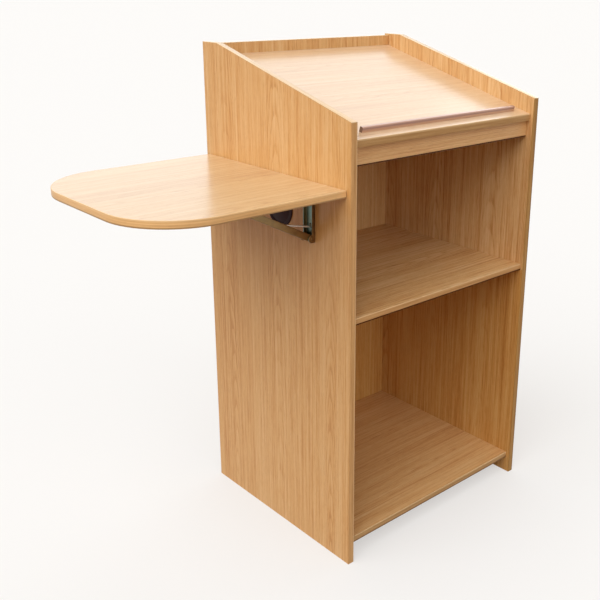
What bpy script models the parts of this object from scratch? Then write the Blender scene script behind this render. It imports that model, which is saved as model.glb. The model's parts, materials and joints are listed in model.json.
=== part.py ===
"""Presentation lectern in oak-faced board, with a flap on its left side that folds down.

Metres, +Z up. X runs across the lectern and Y from its open front to its back. The origin is on
the floor, in the middle of the whole object with the flap open. Each piece is one closed solid.
The flap hangs on two folding brackets: a strut turns on the wall leg, and its slide pin runs in
the slots of the shelf leg while the flap drops from level to upright.
"""
import math

import bmesh
import bpy
from mathutils import Euler, Matrix, Vector

# Carcass
WIDTH = 0.608
DEPTH = 0.522
BACK_HEIGHT = 1.150
FRONT_HEIGHT = 1.025
TOP_FLAT = 0.058              # level top of each side panel, at the back
BOARD = 0.016                 # every board's thickness
BAND = 0.001                  # edge band's thickness
BACK_TOP_DROP = 0.004         # back panel's top below the side panels' tops
BACK_FOOT_CLEARANCE = 0.010   # back panel's lower edge above the floor

# Desk
DESK_RECESS = 0.040           # desk's surface below the side panels' slope, square to it
DESK_SETBACK = 0.010
FASCIA_SETBACK = 0.019
FASCIA_HEIGHT = 0.0418        # of its front face
STOP_LENGTH = 0.500
STOP_DEPTH = 0.009
STOP_HEIGHT = 0.012
STOP_ROUNDING = 0.0025
STOP_FROM_EDGE = 0.0275       # from the desk's front arris up the slope
STOP_OFFSET = 0.007           # stop's middle to the right of the lectern's middle
STOP_SEAT = 0.002             # depth of the groove in the desk that holds the stop

# Shelves
MIDDLE_SHELF_TOP = 0.604
MIDDLE_SHELF_SETBACK = 0.007
BOTTOM_SHELF_TOP = 0.058
BOTTOM_SHELF_SETBACK = 0.011

# Flap
FLAP_REACH = 0.450
FLAP_LENGTH = 0.495
FLAP_CORNER = 0.150
FLAP_WALL_GAP = 0.0015
FLAP_TOP = 0.8865

# Cable grommet in the left side
GROMMET_FROM_FRONT = 0.2355
GROMMET_HEIGHT = 0.809
GROMMET_HOLE = 0.040          # radius of the hole in the board
GROMMET_FLANGE = 0.045
GROMMET_FLANGE_THICKNESS = 0.0025
GROMMET_WALL = 0.0022
GROMMET_LENGTH = 0.016        # sleeve behind the flange
GROMMET_LIP = 0.0012
CAP_THICKNESS = 0.003
CAP_SET_IN = 0.0005           # cap's face behind the flange's face
CAP_NOTCH_WIDTH = 0.018
CAP_NOTCH_DEPTH = 0.016

# Folding brackets
BRACKET_INSET = 0.127         # from the lectern's front and back to a bracket's middle
PIVOT_FROM_WALL = 0.0105
PIVOT_BELOW_FLAP = 0.0135
PIVOT_SPACING = 0.0935        # from the hinge pin down to the strut's pivot
STRUT_REACH = 0.179           # outwards from the hinge pin to the slide pin, flap level
STEEL = 0.002                 # wall of both legs
STRUT_STEEL = 0.0015
WALL_LEG_WIDTH = 0.030
EAR_RADIUS = 0.009
SHELF_LEG_DEPTH = 0.020
SHELF_LEG_END = 0.024         # leg past the outer end of its slots
SHELF_LEG_TAPER = 0.014
STRUT_HEIGHT = 0.0148
SIDE_CLEARANCE = 0.0005       # between flanges that pass each other
PIN_RADIUS = 0.0025
PIN_HEAD_RADIUS = 0.0045
PIN_HEAD = 0.0015
ROD_RADIUS = 0.0022
ROD_PIVOT = 0.100             # from the strut's pivot to the rod's pin, along the strut
ROD_LENGTH = 0.0965
ROD_OFFSET = 0.0084           # rod's middle in front of the strut's middle
ROD_EYE_RADIUS = 0.0042
ROD_EYE_WIDTH = 0.0044
ROD_PIN_RADIUS = 0.0018
ROD_WALL_CLEARANCE = 0.0005

# Fasteners
DOWEL_RADIUS = 0.004
DOWEL_LENGTH = 0.030
DOWEL_IN_SIDE = 0.010
DOWEL_INSET = 0.070           # from a shelf's front and back
SCREW_RADIUS = 0.002
SCREW_LENGTH = 0.013
SCREW_HEAD_RADIUS = 0.004
SCREW_HEAD = 0.0022
SCREW_TIP = 0.003
WALL_SCREW_HEIGHTS = (0.027, 0.072)   # above the strut's pivot
SHELF_SCREW_FROM_HINGE = 0.030
SHELF_SCREW_FROM_END = 0.014

# Clearances and roundness
GAP = 0.0003                  # between pieces that touch
HOLE_END = 0.0005             # past the end of a dowel or a screw
OVERCUT = 0.005               # how far a cutter reaches past the face it opens
CORNER_STEPS = 16
PIN_SIDES = 16
GROMMET_SIDES = 64

# Planes and angles that follow from the sizes above
FRONT = -DEPTH / 2
BACK = DEPTH / 2
LEFT = (FLAP_REACH - WIDTH) / 2
RIGHT = LEFT + WIDTH
INNER_LEFT = LEFT + BOARD
INNER_RIGHT = RIGHT - BOARD
INNER_MIDDLE = (INNER_LEFT + INNER_RIGHT) / 2
INNER_WIDTH = INNER_RIGHT - INNER_LEFT - 2 * GAP
BACK_FACE = BACK - BOARD - GAP
RISE = (BACK_HEIGHT - FRONT_HEIGHT) / (DEPTH - TOP_FLAT)
TILT = math.atan(RISE)
FLAP_UNDERSIDE = FLAP_TOP - BOARD
HINGE_X = LEFT - PIVOT_FROM_WALL
HINGE_Z = FLAP_UNDERSIDE - PIVOT_BELOW_FLAP
STRUT_Z = HINGE_Z - PIVOT_SPACING
STRUT_LENGTH = math.hypot(STRUT_REACH, PIVOT_SPACING)
STRUT_ANGLE = math.atan2(PIVOT_SPACING, STRUT_REACH)
FOLDED_REACH = STRUT_LENGTH + PIVOT_SPACING
SHELF_LEG_LENGTH = FOLDED_REACH + SHELF_LEG_END
SHELF_LEG_INSIDE = WALL_LEG_WIDTH + 2 * SIDE_CLEARANCE
SHELF_LEG_WIDTH = SHELF_LEG_INSIDE + 2 * STEEL
STRUT_WIDTH = WALL_LEG_WIDTH - 2 * STEEL - 2 * SIDE_CLEARANCE
HOLE_RADIUS = PIN_RADIUS + GAP

# Local x points out from the left side, local y up and local z to the back
OUTWARD = Euler((math.pi / 2, 0, math.pi)).to_matrix().to_4x4()
# Local x points to the back, local y up and local z to the right
SIDEWAYS = Euler((math.pi / 2, 0, math.pi / 2)).to_matrix().to_4x4()
ALONG = {
    'X': Matrix.Rotation(math.pi / 2, 4, 'Y'),
    'Y': Matrix.Rotation(math.pi / 2, 4, 'X'),
    'Z': Matrix.Identity(4),
}


# ---------------------------------------------------------------- scene and materials

def new_collection(name):
    """An empty collection in the scene."""
    collection = bpy.data.collections.new(name)
    bpy.context.scene.collection.children.link(collection)
    return collection


for leftover in list(bpy.data.objects):
    bpy.data.objects.remove(leftover)
PARTS = new_collection('presentation_lectern')
CUTTERS = new_collection('cutters')


def material(name, colour, roughness, metallic=0.0):
    """A Principled BSDF of one colour."""
    finish = bpy.data.materials.new(name)
    finish.use_nodes = True
    shader = finish.node_tree.nodes['Principled BSDF']
    shader.inputs['Base Color'].default_value = (*colour, 1)
    shader.inputs['Roughness'].default_value = roughness
    shader.inputs['Metallic'].default_value = metallic
    return finish


OAK = (0.52, 0.27, 0.11)
OAK_EDGE = (0.42, 0.22, 0.10)
ZINC = (0.45, 0.47, 0.44)


# ---------------------------------------------------------------- shapes

def add_mesh(name, mesh, place, finish, collection=None):
    """Put a mesh into the scene as one object of one material."""
    piece = bpy.data.objects.new(name, mesh)
    (collection or PARTS).objects.link(piece)
    piece.matrix_world = place
    mesh.materials.clear()
    mesh.materials.append(material(name, *finish))
    return piece


def box(name, low, high, finish):
    """A board with square edges, from its lowest to its highest corner."""
    low, high = Vector(low), Vector(high)
    cage = bmesh.new()
    bmesh.ops.create_cube(cage, size=1, matrix=Matrix.Diagonal((*(high - low), 1)))
    mesh = bpy.data.meshes.new(name)
    cage.to_mesh(mesh)
    cage.free()
    return add_mesh(name, mesh, Matrix.Translation((low + high) / 2), finish)


def curve_to_mesh(name, curve):
    """The evaluated mesh of a curve, with its caps welded on."""
    holder = bpy.data.objects.new(name, curve)
    PARTS.objects.link(holder)
    bpy.context.view_layer.update()
    mesh = bpy.data.meshes.new_from_object(holder.evaluated_get(bpy.context.evaluated_depsgraph_get()))
    bpy.data.objects.remove(holder)
    cage = bmesh.new()
    cage.from_mesh(mesh)
    bmesh.ops.remove_doubles(cage, verts=cage.verts, dist=1e-6)
    bmesh.ops.recalc_face_normals(cage, faces=cage.faces)
    cage.to_mesh(mesh)
    cage.free()
    return mesh


def outline_mesh(name, outlines, thickness):
    """Flat outlines in the local XY plane, filled and given a thickness; later ones are holes."""
    curve = bpy.data.curves.new(name, 'CURVE')
    curve.dimensions = '2D'
    curve.fill_mode = 'BOTH'
    curve.extrude = thickness / 2
    for corners in outlines:
        spline = curve.splines.new('POLY')
        spline.points.add(len(corners) - 1)
        for point, corner in zip(spline.points, corners):
            point.co = (corner[0], corner[1], 0, 1)
        spline.use_cyclic_u = True
    return curve_to_mesh(name, curve)


def plate(name, outlines, thickness, place, finish):
    """A flat piece cut to an outline."""
    return add_mesh(name, outline_mesh(name, outlines, thickness), place, finish)


def cutter(piece, mesh, place):
    """Cut a hidden shape out of a piece."""
    shape = bpy.data.objects.new(piece.name + '_cutter', mesh)
    CUTTERS.objects.link(shape)
    shape.matrix_world = place
    shape.display_type = 'WIRE'
    shape.hide_render = True
    cut = piece.modifiers.new('cut', 'BOOLEAN')
    cut.operation = 'DIFFERENCE'
    cut.solver = 'EXACT'
    cut.object = shape


def drill(piece, holes, sides=PIN_SIDES):
    """Round holes, each as (start, direction, depth, radius) in the room's axes."""
    cage = bmesh.new()
    for start, direction, deep, radius in holes:
        direction = Vector(direction)
        middle = Vector(start) + direction * (deep - OVERCUT) / 2
        axis = 'XYZ'[max(range(3), key=lambda i: abs(direction[i]))]
        bmesh.ops.create_cone(cage, cap_ends=True, segments=sides, radius1=radius, radius2=radius,
                              depth=deep + OVERCUT, matrix=Matrix.Translation(middle) @ ALONG[axis])
    mesh = bpy.data.meshes.new(piece.name + '_drill')
    cage.to_mesh(mesh)
    cage.free()
    cutter(piece, mesh, Matrix.Identity(4))


def hollow(piece, low, high, place):
    """Cut a box, in the piece's own axes, out of a piece."""
    low, high = Vector(low), Vector(high)
    cage = bmesh.new()
    bmesh.ops.create_cube(cage, size=1,
                          matrix=Matrix.Translation((low + high) / 2) @ Matrix.Diagonal((*(high - low), 1)))
    mesh = bpy.data.meshes.new(piece.name + '_hollow')
    cage.to_mesh(mesh)
    cage.free()
    cutter(piece, mesh, place)


def turned(name, profile, closed, place, finish, sides=PIN_SIDES):
    """A turned piece: (radius, height) points down its outer side, swept round local Z."""
    mesh = bpy.data.meshes.new(name)
    count = len(profile)
    edges = [(i, (i + 1) % count) for i in range(count if closed else count - 1)]
    mesh.from_pydata([(radius, 0, height) for radius, height in profile], edges, [])
    piece = add_mesh(name, mesh, place, finish)
    sweep = piece.modifiers.new('turn', 'SCREW')
    sweep.steps = sides
    sweep.render_steps = sides
    sweep.use_merge_vertices = True
    sweep.merge_threshold = 1e-5
    return piece


def arc(centre, radius, start, end, steps=CORNER_STEPS):
    """Points of an arc, with its angles in degrees."""
    angles = [math.radians(start + (end - start) * i / steps) for i in range(steps + 1)]
    return [(centre[0] + radius * math.cos(a), centre[1] + radius * math.sin(a)) for a in angles]


def stadium(start, end, radius):
    """A slot's outline, between two centres on local x."""
    return arc((end, 0), radius, -90, 90) + arc((start, 0), radius, 90, 270)


def inset(corners, steps):
    """Move each edge i of an anticlockwise outline, from corner i to i + 1, in by steps[i]."""
    lines = []
    for i, step in enumerate(steps):
        start = Vector(corners[i])
        along = (Vector(corners[(i + 1) % len(corners)]) - start).normalized()
        lines.append((start + Vector((-along.y, along.x)) * step, along))
    moved = []
    for i, (there, onward) in enumerate(lines):
        here, along = lines[i - 1]
        moved.append(here + along * ((there - here).cross(onward) / along.cross(onward)))
    return moved


def pivot(name, place):
    """An empty on a joint's axis."""
    empty = bpy.data.objects.new(name, None)
    empty.empty_display_size = 0.05
    PARTS.objects.link(empty)
    empty.location = place
    return empty


def hang(piece, axis):
    """Make a piece move with an empty, where it already is."""
    piece.parent = axis
    piece.matrix_parent_inverse = Matrix.Translation(-axis.location)


# ---------------------------------------------------------------- carcass

SIDE_OUTLINE = [(FRONT, 0), (BACK, 0), (BACK, BACK_HEIGHT), (BACK - TOP_FLAT, BACK_HEIGHT),
                (FRONT, FRONT_HEIGHT)]
UNDER_BAND = BAND + GAP


def shelf_dowels(setback, top):
    """Where a shelf's dowels stand in the (y, z) plane."""
    height = top - BOARD / 2
    return [(FRONT + setback + DOWEL_INSET, height), (BACK_FACE - DOWEL_INSET, height)]


def desk_surface(y):
    """Height of the desk's upper face."""
    return FRONT_HEIGHT + RISE * (y - FRONT) - DESK_RECESS / math.cos(TILT)


def desk_underside(y):
    """Height of the desk's lower face."""
    return desk_surface(y) - BOARD / math.cos(TILT)


DESK_DOWEL_Y = (FRONT + BACK) / 2
DOWELS = {
    'middle_shelf': shelf_dowels(MIDDLE_SHELF_SETBACK, MIDDLE_SHELF_TOP),
    'bottom_shelf': shelf_dowels(BOTTOM_SHELF_SETBACK, BOTTOM_SHELF_TOP),
    'desk_board': [(DESK_DOWEL_Y, (desk_surface(DESK_DOWEL_Y) + desk_underside(DESK_DOWEL_Y)) / 2)],
}


def side_panel(side, outer, inward):
    """A side panel with its edge bands; inward is +1 on the left side and -1 on the right."""
    middle = Matrix.Translation((outer + inward * BOARD / 2, 0, 0)) @ SIDEWAYS
    wood = (OAK, 0.35)
    edge = (OAK_EDGE, 0.4)
    core = inset(SIDE_OUTLINE, (0, UNDER_BAND, UNDER_BAND, UNDER_BAND, UNDER_BAND))
    panel = plate(side + '_side_panel', [core], BOARD, middle, wood)

    top = inset(SIDE_OUTLINE, (0, 0, BAND, BAND, 0))
    plate(side + '_top_band', [SIDE_OUTLINE[2:] + [top[4], top[3], top[2]]], BOARD, middle, edge)
    under_top = inset(SIDE_OUTLINE, (0, 0, UNDER_BAND, UNDER_BAND, 0))
    behind_front = inset(SIDE_OUTLINE, (0, 0, UNDER_BAND, UNDER_BAND, BAND))
    before_back = inset(SIDE_OUTLINE, (0, BAND, UNDER_BAND, UNDER_BAND, 0))
    plate(side + '_front_band', [[SIDE_OUTLINE[0], behind_front[0], behind_front[4], under_top[4]]],
          BOARD, middle, edge)
    plate(side + '_rear_band', [[before_back[1], SIDE_OUTLINE[1], under_top[2], before_back[2]]],
          BOARD, middle, edge)

    inner = outer + inward * BOARD
    holes = [((inner, y, z), (-inward, 0, 0), DOWEL_IN_SIDE + HOLE_END, DOWEL_RADIUS + GAP)
             for row in DOWELS.values() for y, z in row]
    drill(panel, holes, 12)
    return panel


def fixed_board(name, board_piece):
    """Drill a board's two ends for its dowels, and make the dowels."""
    deep = DOWEL_LENGTH - DOWEL_IN_SIDE + HOLE_END
    holes = []
    for side, inner, inward in (('left', INNER_LEFT, 1), ('right', INNER_RIGHT, -1)):
        for number, (y, z) in enumerate(DOWELS[name], 1):
            start = inner + inward * GAP
            holes.append(((start, y, z), (inward, 0, 0), deep, DOWEL_RADIUS + GAP))
            middle = inner + inward * (DOWEL_LENGTH / 2 - DOWEL_IN_SIDE)
            bpy.ops.mesh.primitive_cylinder_add(vertices=12, radius=DOWEL_RADIUS, depth=DOWEL_LENGTH)
            dowel = bpy.context.object
            dowel.name = f'{name}_{side}_dowel_{number}'
            dowel.matrix_world = Matrix.Translation((middle, y, z)) @ ALONG['X']
            for holder in list(dowel.users_collection):
                holder.objects.unlink(dowel)
            PARTS.objects.link(dowel)
            dowel.data.materials.append(material(dowel.name, (0.55, 0.36, 0.20), 0.7))
    drill(board_piece, holes, 12)


def shelf(name, top, setback):
    """A level board between the side panels, with a banded front edge."""
    front = FRONT + setback
    low, high = top - BOARD, top
    left, right = INNER_LEFT + GAP, INNER_RIGHT - GAP
    piece = box(name, (left, front + UNDER_BAND, low), (right, BACK_FACE, high), (OAK, 0.35))
    box(name + '_front_band', (left, front, low), (right, front + BAND, high), (OAK_EDGE, 0.4))
    fixed_board(name, piece)


def desk():
    """The sloping desk, the fascia rail under its front edge and the paper stop on it."""
    across = Matrix.Translation((INNER_MIDDLE, 0, 0)) @ SIDEWAYS

    def slice_between(near, far):
        return [(near, desk_underside(near)), (far, desk_underside(far)),
                (far, desk_surface(far)), (near, desk_surface(near))]

    front = FRONT + DESK_SETBACK
    board_piece = plate('desk_board', [slice_between(front + UNDER_BAND, BACK_FACE)],
                        INNER_WIDTH, across, (OAK, 0.3))
    fixed_board('desk_board', board_piece)
    plate('desk_front_band', [slice_between(front, front + BAND)], INNER_WIDTH, across, (OAK_EDGE, 0.4))

    near = FRONT + FASCIA_SETBACK
    far = near + BOARD
    bottom = desk_underside(near) - GAP - FASCIA_HEIGHT
    rail = [(near, bottom), (far, bottom),
            (far, desk_underside(far) - GAP), (near, desk_underside(near) - GAP)]
    plate('fascia_rail', [rail], INNER_WIDTH, across, (OAK, 0.35))

    stop_place = (Matrix.Translation((INNER_MIDDLE + STOP_OFFSET, front, desk_surface(front)))
                  @ SIDEWAYS @ Matrix.Rotation(TILT, 4, 'Z'))
    near, far = STOP_FROM_EDGE, STOP_FROM_EDGE + STOP_DEPTH
    groove_end = STOP_LENGTH / 2 + GAP
    hollow(board_piece, (near - GAP, -STOP_SEAT, -groove_end), (far + GAP, OVERCUT, groove_end), stop_place)
    shoulder = STOP_HEIGHT - STOP_ROUNDING
    foot = GAP - STOP_SEAT
    bead = ([(near, foot), (far, foot)]
            + arc((far - STOP_ROUNDING, shoulder), STOP_ROUNDING, 0, 90, 4)
            + arc((near + STOP_ROUNDING, shoulder), STOP_ROUNDING, 90, 180, 4))
    plate('paper_stop', [bead], STOP_LENGTH, stop_place, ((0.40, 0.22, 0.14), 0.35))


def back_panel():
    """The back, between the side panels."""
    left, right = INNER_LEFT + GAP, INNER_RIGHT - GAP
    top = BACK_HEIGHT - BACK_TOP_DROP
    box('back_panel', (left, BACK - BOARD, BACK_FOOT_CLEARANCE), (right, BACK, top - UNDER_BAND),
        (OAK, 0.35))
    box('back_top_band', (left, BACK - BOARD, top - BAND), (right, BACK, top), (OAK_EDGE, 0.4))


# ---------------------------------------------------------------- grommet

def grommet(panel):
    """A flanged sleeve in the left side, and the cap that turns in its groove."""
    centre = Vector((LEFT, FRONT + GROMMET_FROM_FRONT, GROMMET_HEIGHT))
    drill(panel, [(centre, (1, 0, 0), BOARD + OVERCUT, GROMMET_HOLE)], GROMMET_SIDES)
    place = Matrix.Translation(centre) @ Matrix.Rotation(-math.pi / 2, 4, 'Y')

    sleeve = GROMMET_HOLE - GAP
    bore = sleeve - GROMMET_WALL
    lip = bore - GROMMET_LIP
    face = GROMMET_FLANGE_THICKNESS + GAP
    cap_face = face - CAP_SET_IN
    cap_back = cap_face - CAP_THICKNESS
    edge = GROMMET_FLANGE_THICKNESS / 2
    groove_front = cap_face - CAP_THICKNESS / 3 + GAP
    ring = [(lip, face), (GROMMET_FLANGE - edge, face), (GROMMET_FLANGE, face - edge),
            (GROMMET_FLANGE, GAP), (sleeve, GAP), (sleeve, -GROMMET_LENGTH), (bore, -GROMMET_LENGTH),
            (bore, cap_back - GAP - GROMMET_WALL), (lip, cap_back - GAP - GROMMET_WALL),
            (lip, cap_back - GAP), (bore, cap_back - GAP), (bore, groove_front), (lip, groove_front)]
    turned('grommet_ring', ring, True, place, ((0.045, 0.02, 0.016), 0.4), GROMMET_SIDES)

    rim = bore - GAP
    step = groove_front - GAP
    nose = lip - GAP
    cap = turned('grommet_cap', [(0, cap_face), (nose, cap_face), (nose, step), (rim, step),
                                 (rim, cap_back), (0, cap_back)],
                 False, place, ((0.04, 0.018, 0.015), 0.35), GROMMET_SIDES)
    root = rim - CAP_NOTCH_DEPTH + CAP_NOTCH_WIDTH / 2
    half = CAP_NOTCH_WIDTH / 2
    notch = arc((0, root), half, 180, 360) + [(half, rim + OVERCUT), (-half, rim + OVERCUT)]
    upright = Matrix.Translation(centre) @ SIDEWAYS
    cutter(cap, outline_mesh('grommet_cap_notch', [notch], 4 * OVERCUT), upright)


# ---------------------------------------------------------------- flap

def flap_outline(step):
    """The flap's outline moved in by step: square against the wall, rounded outside."""
    near = LEFT - FLAP_WALL_GAP - step
    side = FLAP_LENGTH / 2
    centre_x = LEFT - FLAP_REACH + FLAP_CORNER
    centre_y = side - FLAP_CORNER
    radius = FLAP_CORNER - step
    return ([(near, step - side), (near, side - step)]
            + arc((centre_x, centre_y), radius, 90, 180)
            + arc((centre_x, -centre_y), radius, 180, 270))


def flap(hinge):
    """The flap board and the band round its edge."""
    middle = Matrix.Translation((0, 0, FLAP_UNDERSIDE + BOARD / 2))
    board_piece = plate('flap_board', [flap_outline(UNDER_BAND)], BOARD, middle, (OAK, 0.25))
    ring = plate('flap_edge_band', [flap_outline(0), flap_outline(BAND)], BOARD, middle, (OAK_EDGE, 0.4))
    hang(board_piece, hinge)
    hang(ring, hinge)
    return board_piece


# ---------------------------------------------------------------- folding brackets

def out_and_up(out, up, y):
    """A point by its distance outwards from the hinge line and its height above the strut's pivot."""
    return Vector((HINGE_X - out, y, STRUT_Z + up))


def channel(name, outline, width, wall, web_edge, place):
    """A steel channel: an outline with two flanges and, on one side of it, a web.

    web_edge gives the hollow's two corners, (low x, low y) and (high x, high y), in that plane."""
    low, high = web_edge
    piece = plate(name, [outline], width, place, (ZINC, 0.35, 1.0))
    half = width / 2 - wall
    hollow(piece, (low[0], low[1], -half), (high[0], high[1], half), place)
    return piece


def screw(name, place):
    """A pan-head screw, head up, with the underside of its head at the origin."""
    profile = [(0, SCREW_HEAD), (SCREW_HEAD_RADIUS * 0.7, SCREW_HEAD), (SCREW_HEAD_RADIUS, SCREW_HEAD / 2),
               (SCREW_HEAD_RADIUS, 0), (SCREW_RADIUS, 0), (SCREW_RADIUS, SCREW_TIP - SCREW_LENGTH),
               (0, -SCREW_LENGTH)]
    return turned(name, profile, False, place, (ZINC, 0.3, 1.0), 12)


def pin(name, length, radius, place, head=0.0):
    """A pin along Y, flush or with a rivet head at each end."""
    half = length / 2
    profile = [(0, half), (radius, half), (radius, -half), (0, -half)]
    if head:
        profile = [(0, half + head), (PIN_HEAD_RADIUS, half + head), (PIN_HEAD_RADIUS, half),
                   (radius, half), (radius, -half), (PIN_HEAD_RADIUS, -half),
                   (PIN_HEAD_RADIUS, -half - head), (0, -half - head)]
    return turned(name, profile, False, Matrix.Translation(place) @ ALONG['Y'], (ZINC, 0.3, 1.0))


def wall_leg(end, y, panel):
    """The short leg on the lectern's side, with an ear for each pivot, and its screws."""
    back = GAP - PIVOT_FROM_WALL
    outline = ([(back, -EAR_RADIUS)] + arc((0, 0), EAR_RADIUS, -90, 90, 12)
               + arc((0, PIVOT_SPACING), EAR_RADIUS, -90, 90, 12)
               + [(back, PIVOT_SPACING + EAR_RADIUS)])
    place = Matrix.Translation(out_and_up(0, 0, y)) @ OUTWARD
    reach = EAR_RADIUS + OVERCUT
    leg = channel(end + '_wall_leg', outline, WALL_LEG_WIDTH, STEEL,
                  ((back + STEEL, -reach), (reach, PIVOT_SPACING + reach)), place)
    side = y - WALL_LEG_WIDTH / 2
    through = WALL_LEG_WIDTH + OVERCUT
    holes = [(out_and_up(0, up, side), (0, 1, 0), through, HOLE_RADIUS) for up in (0, PIVOT_SPACING)]
    web = PIVOT_FROM_WALL - GAP
    holes += [(out_and_up(-web + STEEL, up, y), (1, 0, 0), STEEL + OVERCUT, SCREW_RADIUS + GAP)
              for up in WALL_SCREW_HEIGHTS]
    drill(leg, holes)
    head_seat = web - STEEL - GAP
    pilot = SCREW_LENGTH - STEEL - 2 * GAP + HOLE_END
    outwards = Matrix.Rotation(-math.pi / 2, 4, 'Y')
    for number, up in enumerate(WALL_SCREW_HEIGHTS, 1):
        screw(f'{end}_wall_leg_screw_{number}', Matrix.Translation(out_and_up(-head_seat, up, y)) @ outwards)
    drill(panel, [((LEFT, y, STRUT_Z + up), (1, 0, 0), pilot, SCREW_RADIUS + GAP)
                  for up in WALL_SCREW_HEIGHTS], 12)
    pin(end + '_hinge_pin', SHELF_LEG_WIDTH + 2 * GAP, PIN_RADIUS,
        out_and_up(0, PIVOT_SPACING, y), PIN_HEAD)
    pin(end + '_strut_pin', WALL_LEG_WIDTH, PIN_RADIUS, out_and_up(0, 0, y))


def shelf_leg(end, y, board_piece, hinge):
    """The long leg under the flap, slotted for the slide pin, and its screws."""
    top = PIVOT_BELOW_FLAP - GAP
    bottom = top + GAP - SHELF_LEG_DEPTH
    outline = ([(bottom, top)] + arc((0, 0), -bottom, 180, 270, 8)
               + [(SHELF_LEG_LENGTH - SHELF_LEG_TAPER, bottom), (SHELF_LEG_LENGTH, top - 2 * STEEL),
                  (SHELF_LEG_LENGTH, top)])
    place = Matrix.Translation(out_and_up(0, PIVOT_SPACING, y)) @ OUTWARD
    leg = channel(end + '_shelf_leg', outline, SHELF_LEG_WIDTH, STEEL,
                  ((bottom - OVERCUT, bottom - OVERCUT), (SHELF_LEG_LENGTH + OVERCUT, top - STEEL)), place)
    slot = stadium(STRUT_REACH, FOLDED_REACH, HOLE_RADIUS)
    cutter(leg, outline_mesh(end + '_slot', [slot], SHELF_LEG_WIDTH + 2 * OVERCUT), place)
    side = y - SHELF_LEG_WIDTH / 2
    holes = [(out_and_up(0, PIVOT_SPACING, side), (0, 1, 0), SHELF_LEG_WIDTH + OVERCUT, HOLE_RADIUS)]
    last = SHELF_LEG_LENGTH - SHELF_SCREW_FROM_END
    places = (SHELF_SCREW_FROM_HINGE, (SHELF_SCREW_FROM_HINGE + last) / 2, last)
    web_face = PIVOT_SPACING + top - STEEL
    holes += [(out_and_up(out, web_face, y), (0, 0, 1), STEEL + OVERCUT, SCREW_RADIUS + GAP)
              for out in places]
    drill(leg, holes)
    hang(leg, hinge)
    head_down = Matrix.Rotation(math.pi, 4, 'X')
    pilot = SCREW_LENGTH - STEEL - 2 * GAP + HOLE_END
    for number, out in enumerate(places, 1):
        place = Matrix.Translation(out_and_up(out, web_face - GAP, y)) @ head_down
        hang(screw(f'{end}_shelf_leg_screw_{number}', place), hinge)
    drill(board_piece, [((HINGE_X - out, y, FLAP_UNDERSIDE), (0, 0, 1), pilot, SCREW_RADIUS + GAP)
                        for out in places], 12)


def strut(end, y):
    """The strut from the wall leg up to the slot, open on its upper side, with its pins and rod."""
    base = out_and_up(0, 0, y)
    place = Matrix.Translation(base) @ OUTWARD @ Matrix.Rotation(STRUT_ANGLE, 4, 'Z')
    radius = STRUT_HEIGHT / 2
    piece = channel(end + '_strut', stadium(0, STRUT_LENGTH, radius), STRUT_WIDTH, STRUT_STEEL,
                    ((-radius - OVERCUT, STRUT_STEEL - radius),
                     (STRUT_LENGTH + radius + OVERCUT, radius + OVERCUT)), place)
    axis = pivot(end + '_strut_axis', base)
    hang(piece, axis)

    along = (math.cos(STRUT_ANGLE), math.sin(STRUT_ANGLE))
    slide_point = out_and_up(STRUT_LENGTH * along[0], STRUT_LENGTH * along[1], y)
    rod_point = out_and_up(ROD_PIVOT * along[0], ROD_PIVOT * along[1], y)
    side = Vector((0, -STRUT_WIDTH / 2, 0))
    through = STRUT_WIDTH + OVERCUT
    drill(piece, [(base + side, (0, 1, 0), through, HOLE_RADIUS),
                  (slide_point + side, (0, 1, 0), through, HOLE_RADIUS),
                  (rod_point + side, (0, 1, 0), through, ROD_PIN_RADIUS + GAP)])
    hang(pin(end + '_slide_pin', SHELF_LEG_INSIDE - 2 * GAP, PIN_RADIUS, slide_point), axis)
    hang(pin(end + '_rod_pin', STRUT_WIDTH, ROD_PIN_RADIUS, rod_point), axis)
    release_rod(end, rod_point, axis)


def release_rod(end, rod_point, strut_axis):
    """The wire rod from the strut to the wall leg, with an eye on its pin."""
    out = ROD_PIVOT * math.cos(STRUT_ANGLE)
    tip = STEEL + GAP + ROD_WALL_CLEARANCE + ROD_RADIUS - PIVOT_FROM_WALL
    droop = math.acos((out - tip) / ROD_LENGTH)
    turn = Matrix.Translation(rod_point) @ OUTWARD @ Matrix.Rotation(math.pi + droop, 4, 'Z')
    curve = bpy.data.curves.new(end + '_rod_wire', 'CURVE')
    curve.dimensions = '3D'
    curve.bevel_depth = ROD_RADIUS
    curve.bevel_resolution = 2
    curve.use_fill_caps = True
    wire = curve.splines.new('POLY')
    wire.points.add(1)
    start = (ROD_EYE_RADIUS + ROD_PIN_RADIUS) / 2
    wire.points[0].co = (start, 0, -ROD_OFFSET, 1)
    wire.points[1].co = (ROD_LENGTH, 0, -ROD_OFFSET, 1)
    rod = add_mesh(end + '_release_rod', curve_to_mesh(end + '_release_rod', curve), turn,
                   (ZINC, 0.25, 1.0))
    eye = bmesh.new()
    bmesh.ops.create_cone(eye, cap_ends=True, segments=PIN_SIDES, radius1=ROD_EYE_RADIUS,
                          radius2=ROD_EYE_RADIUS, depth=ROD_EYE_WIDTH,
                          matrix=Matrix.Translation((0, 0, -ROD_OFFSET)))
    eye_mesh = bpy.data.meshes.new(end + '_rod_eye')
    eye.to_mesh(eye_mesh)
    eye.free()
    cutter(rod, eye_mesh, turn)
    rod.modifiers[-1].operation = 'UNION'
    start = rod_point - Vector((0, ROD_OFFSET + ROD_EYE_WIDTH / 2, 0))
    drill(rod, [(start, (0, 1, 0), ROD_EYE_WIDTH + OVERCUT, ROD_PIN_RADIUS + GAP)])
    axis = pivot(end + '_rod_axis', rod_point - strut_axis.location)
    axis.parent = strut_axis
    rod.parent = axis
    rod.matrix_parent_inverse = Matrix.Translation(-rod_point)


# ---------------------------------------------------------------- assembly

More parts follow.
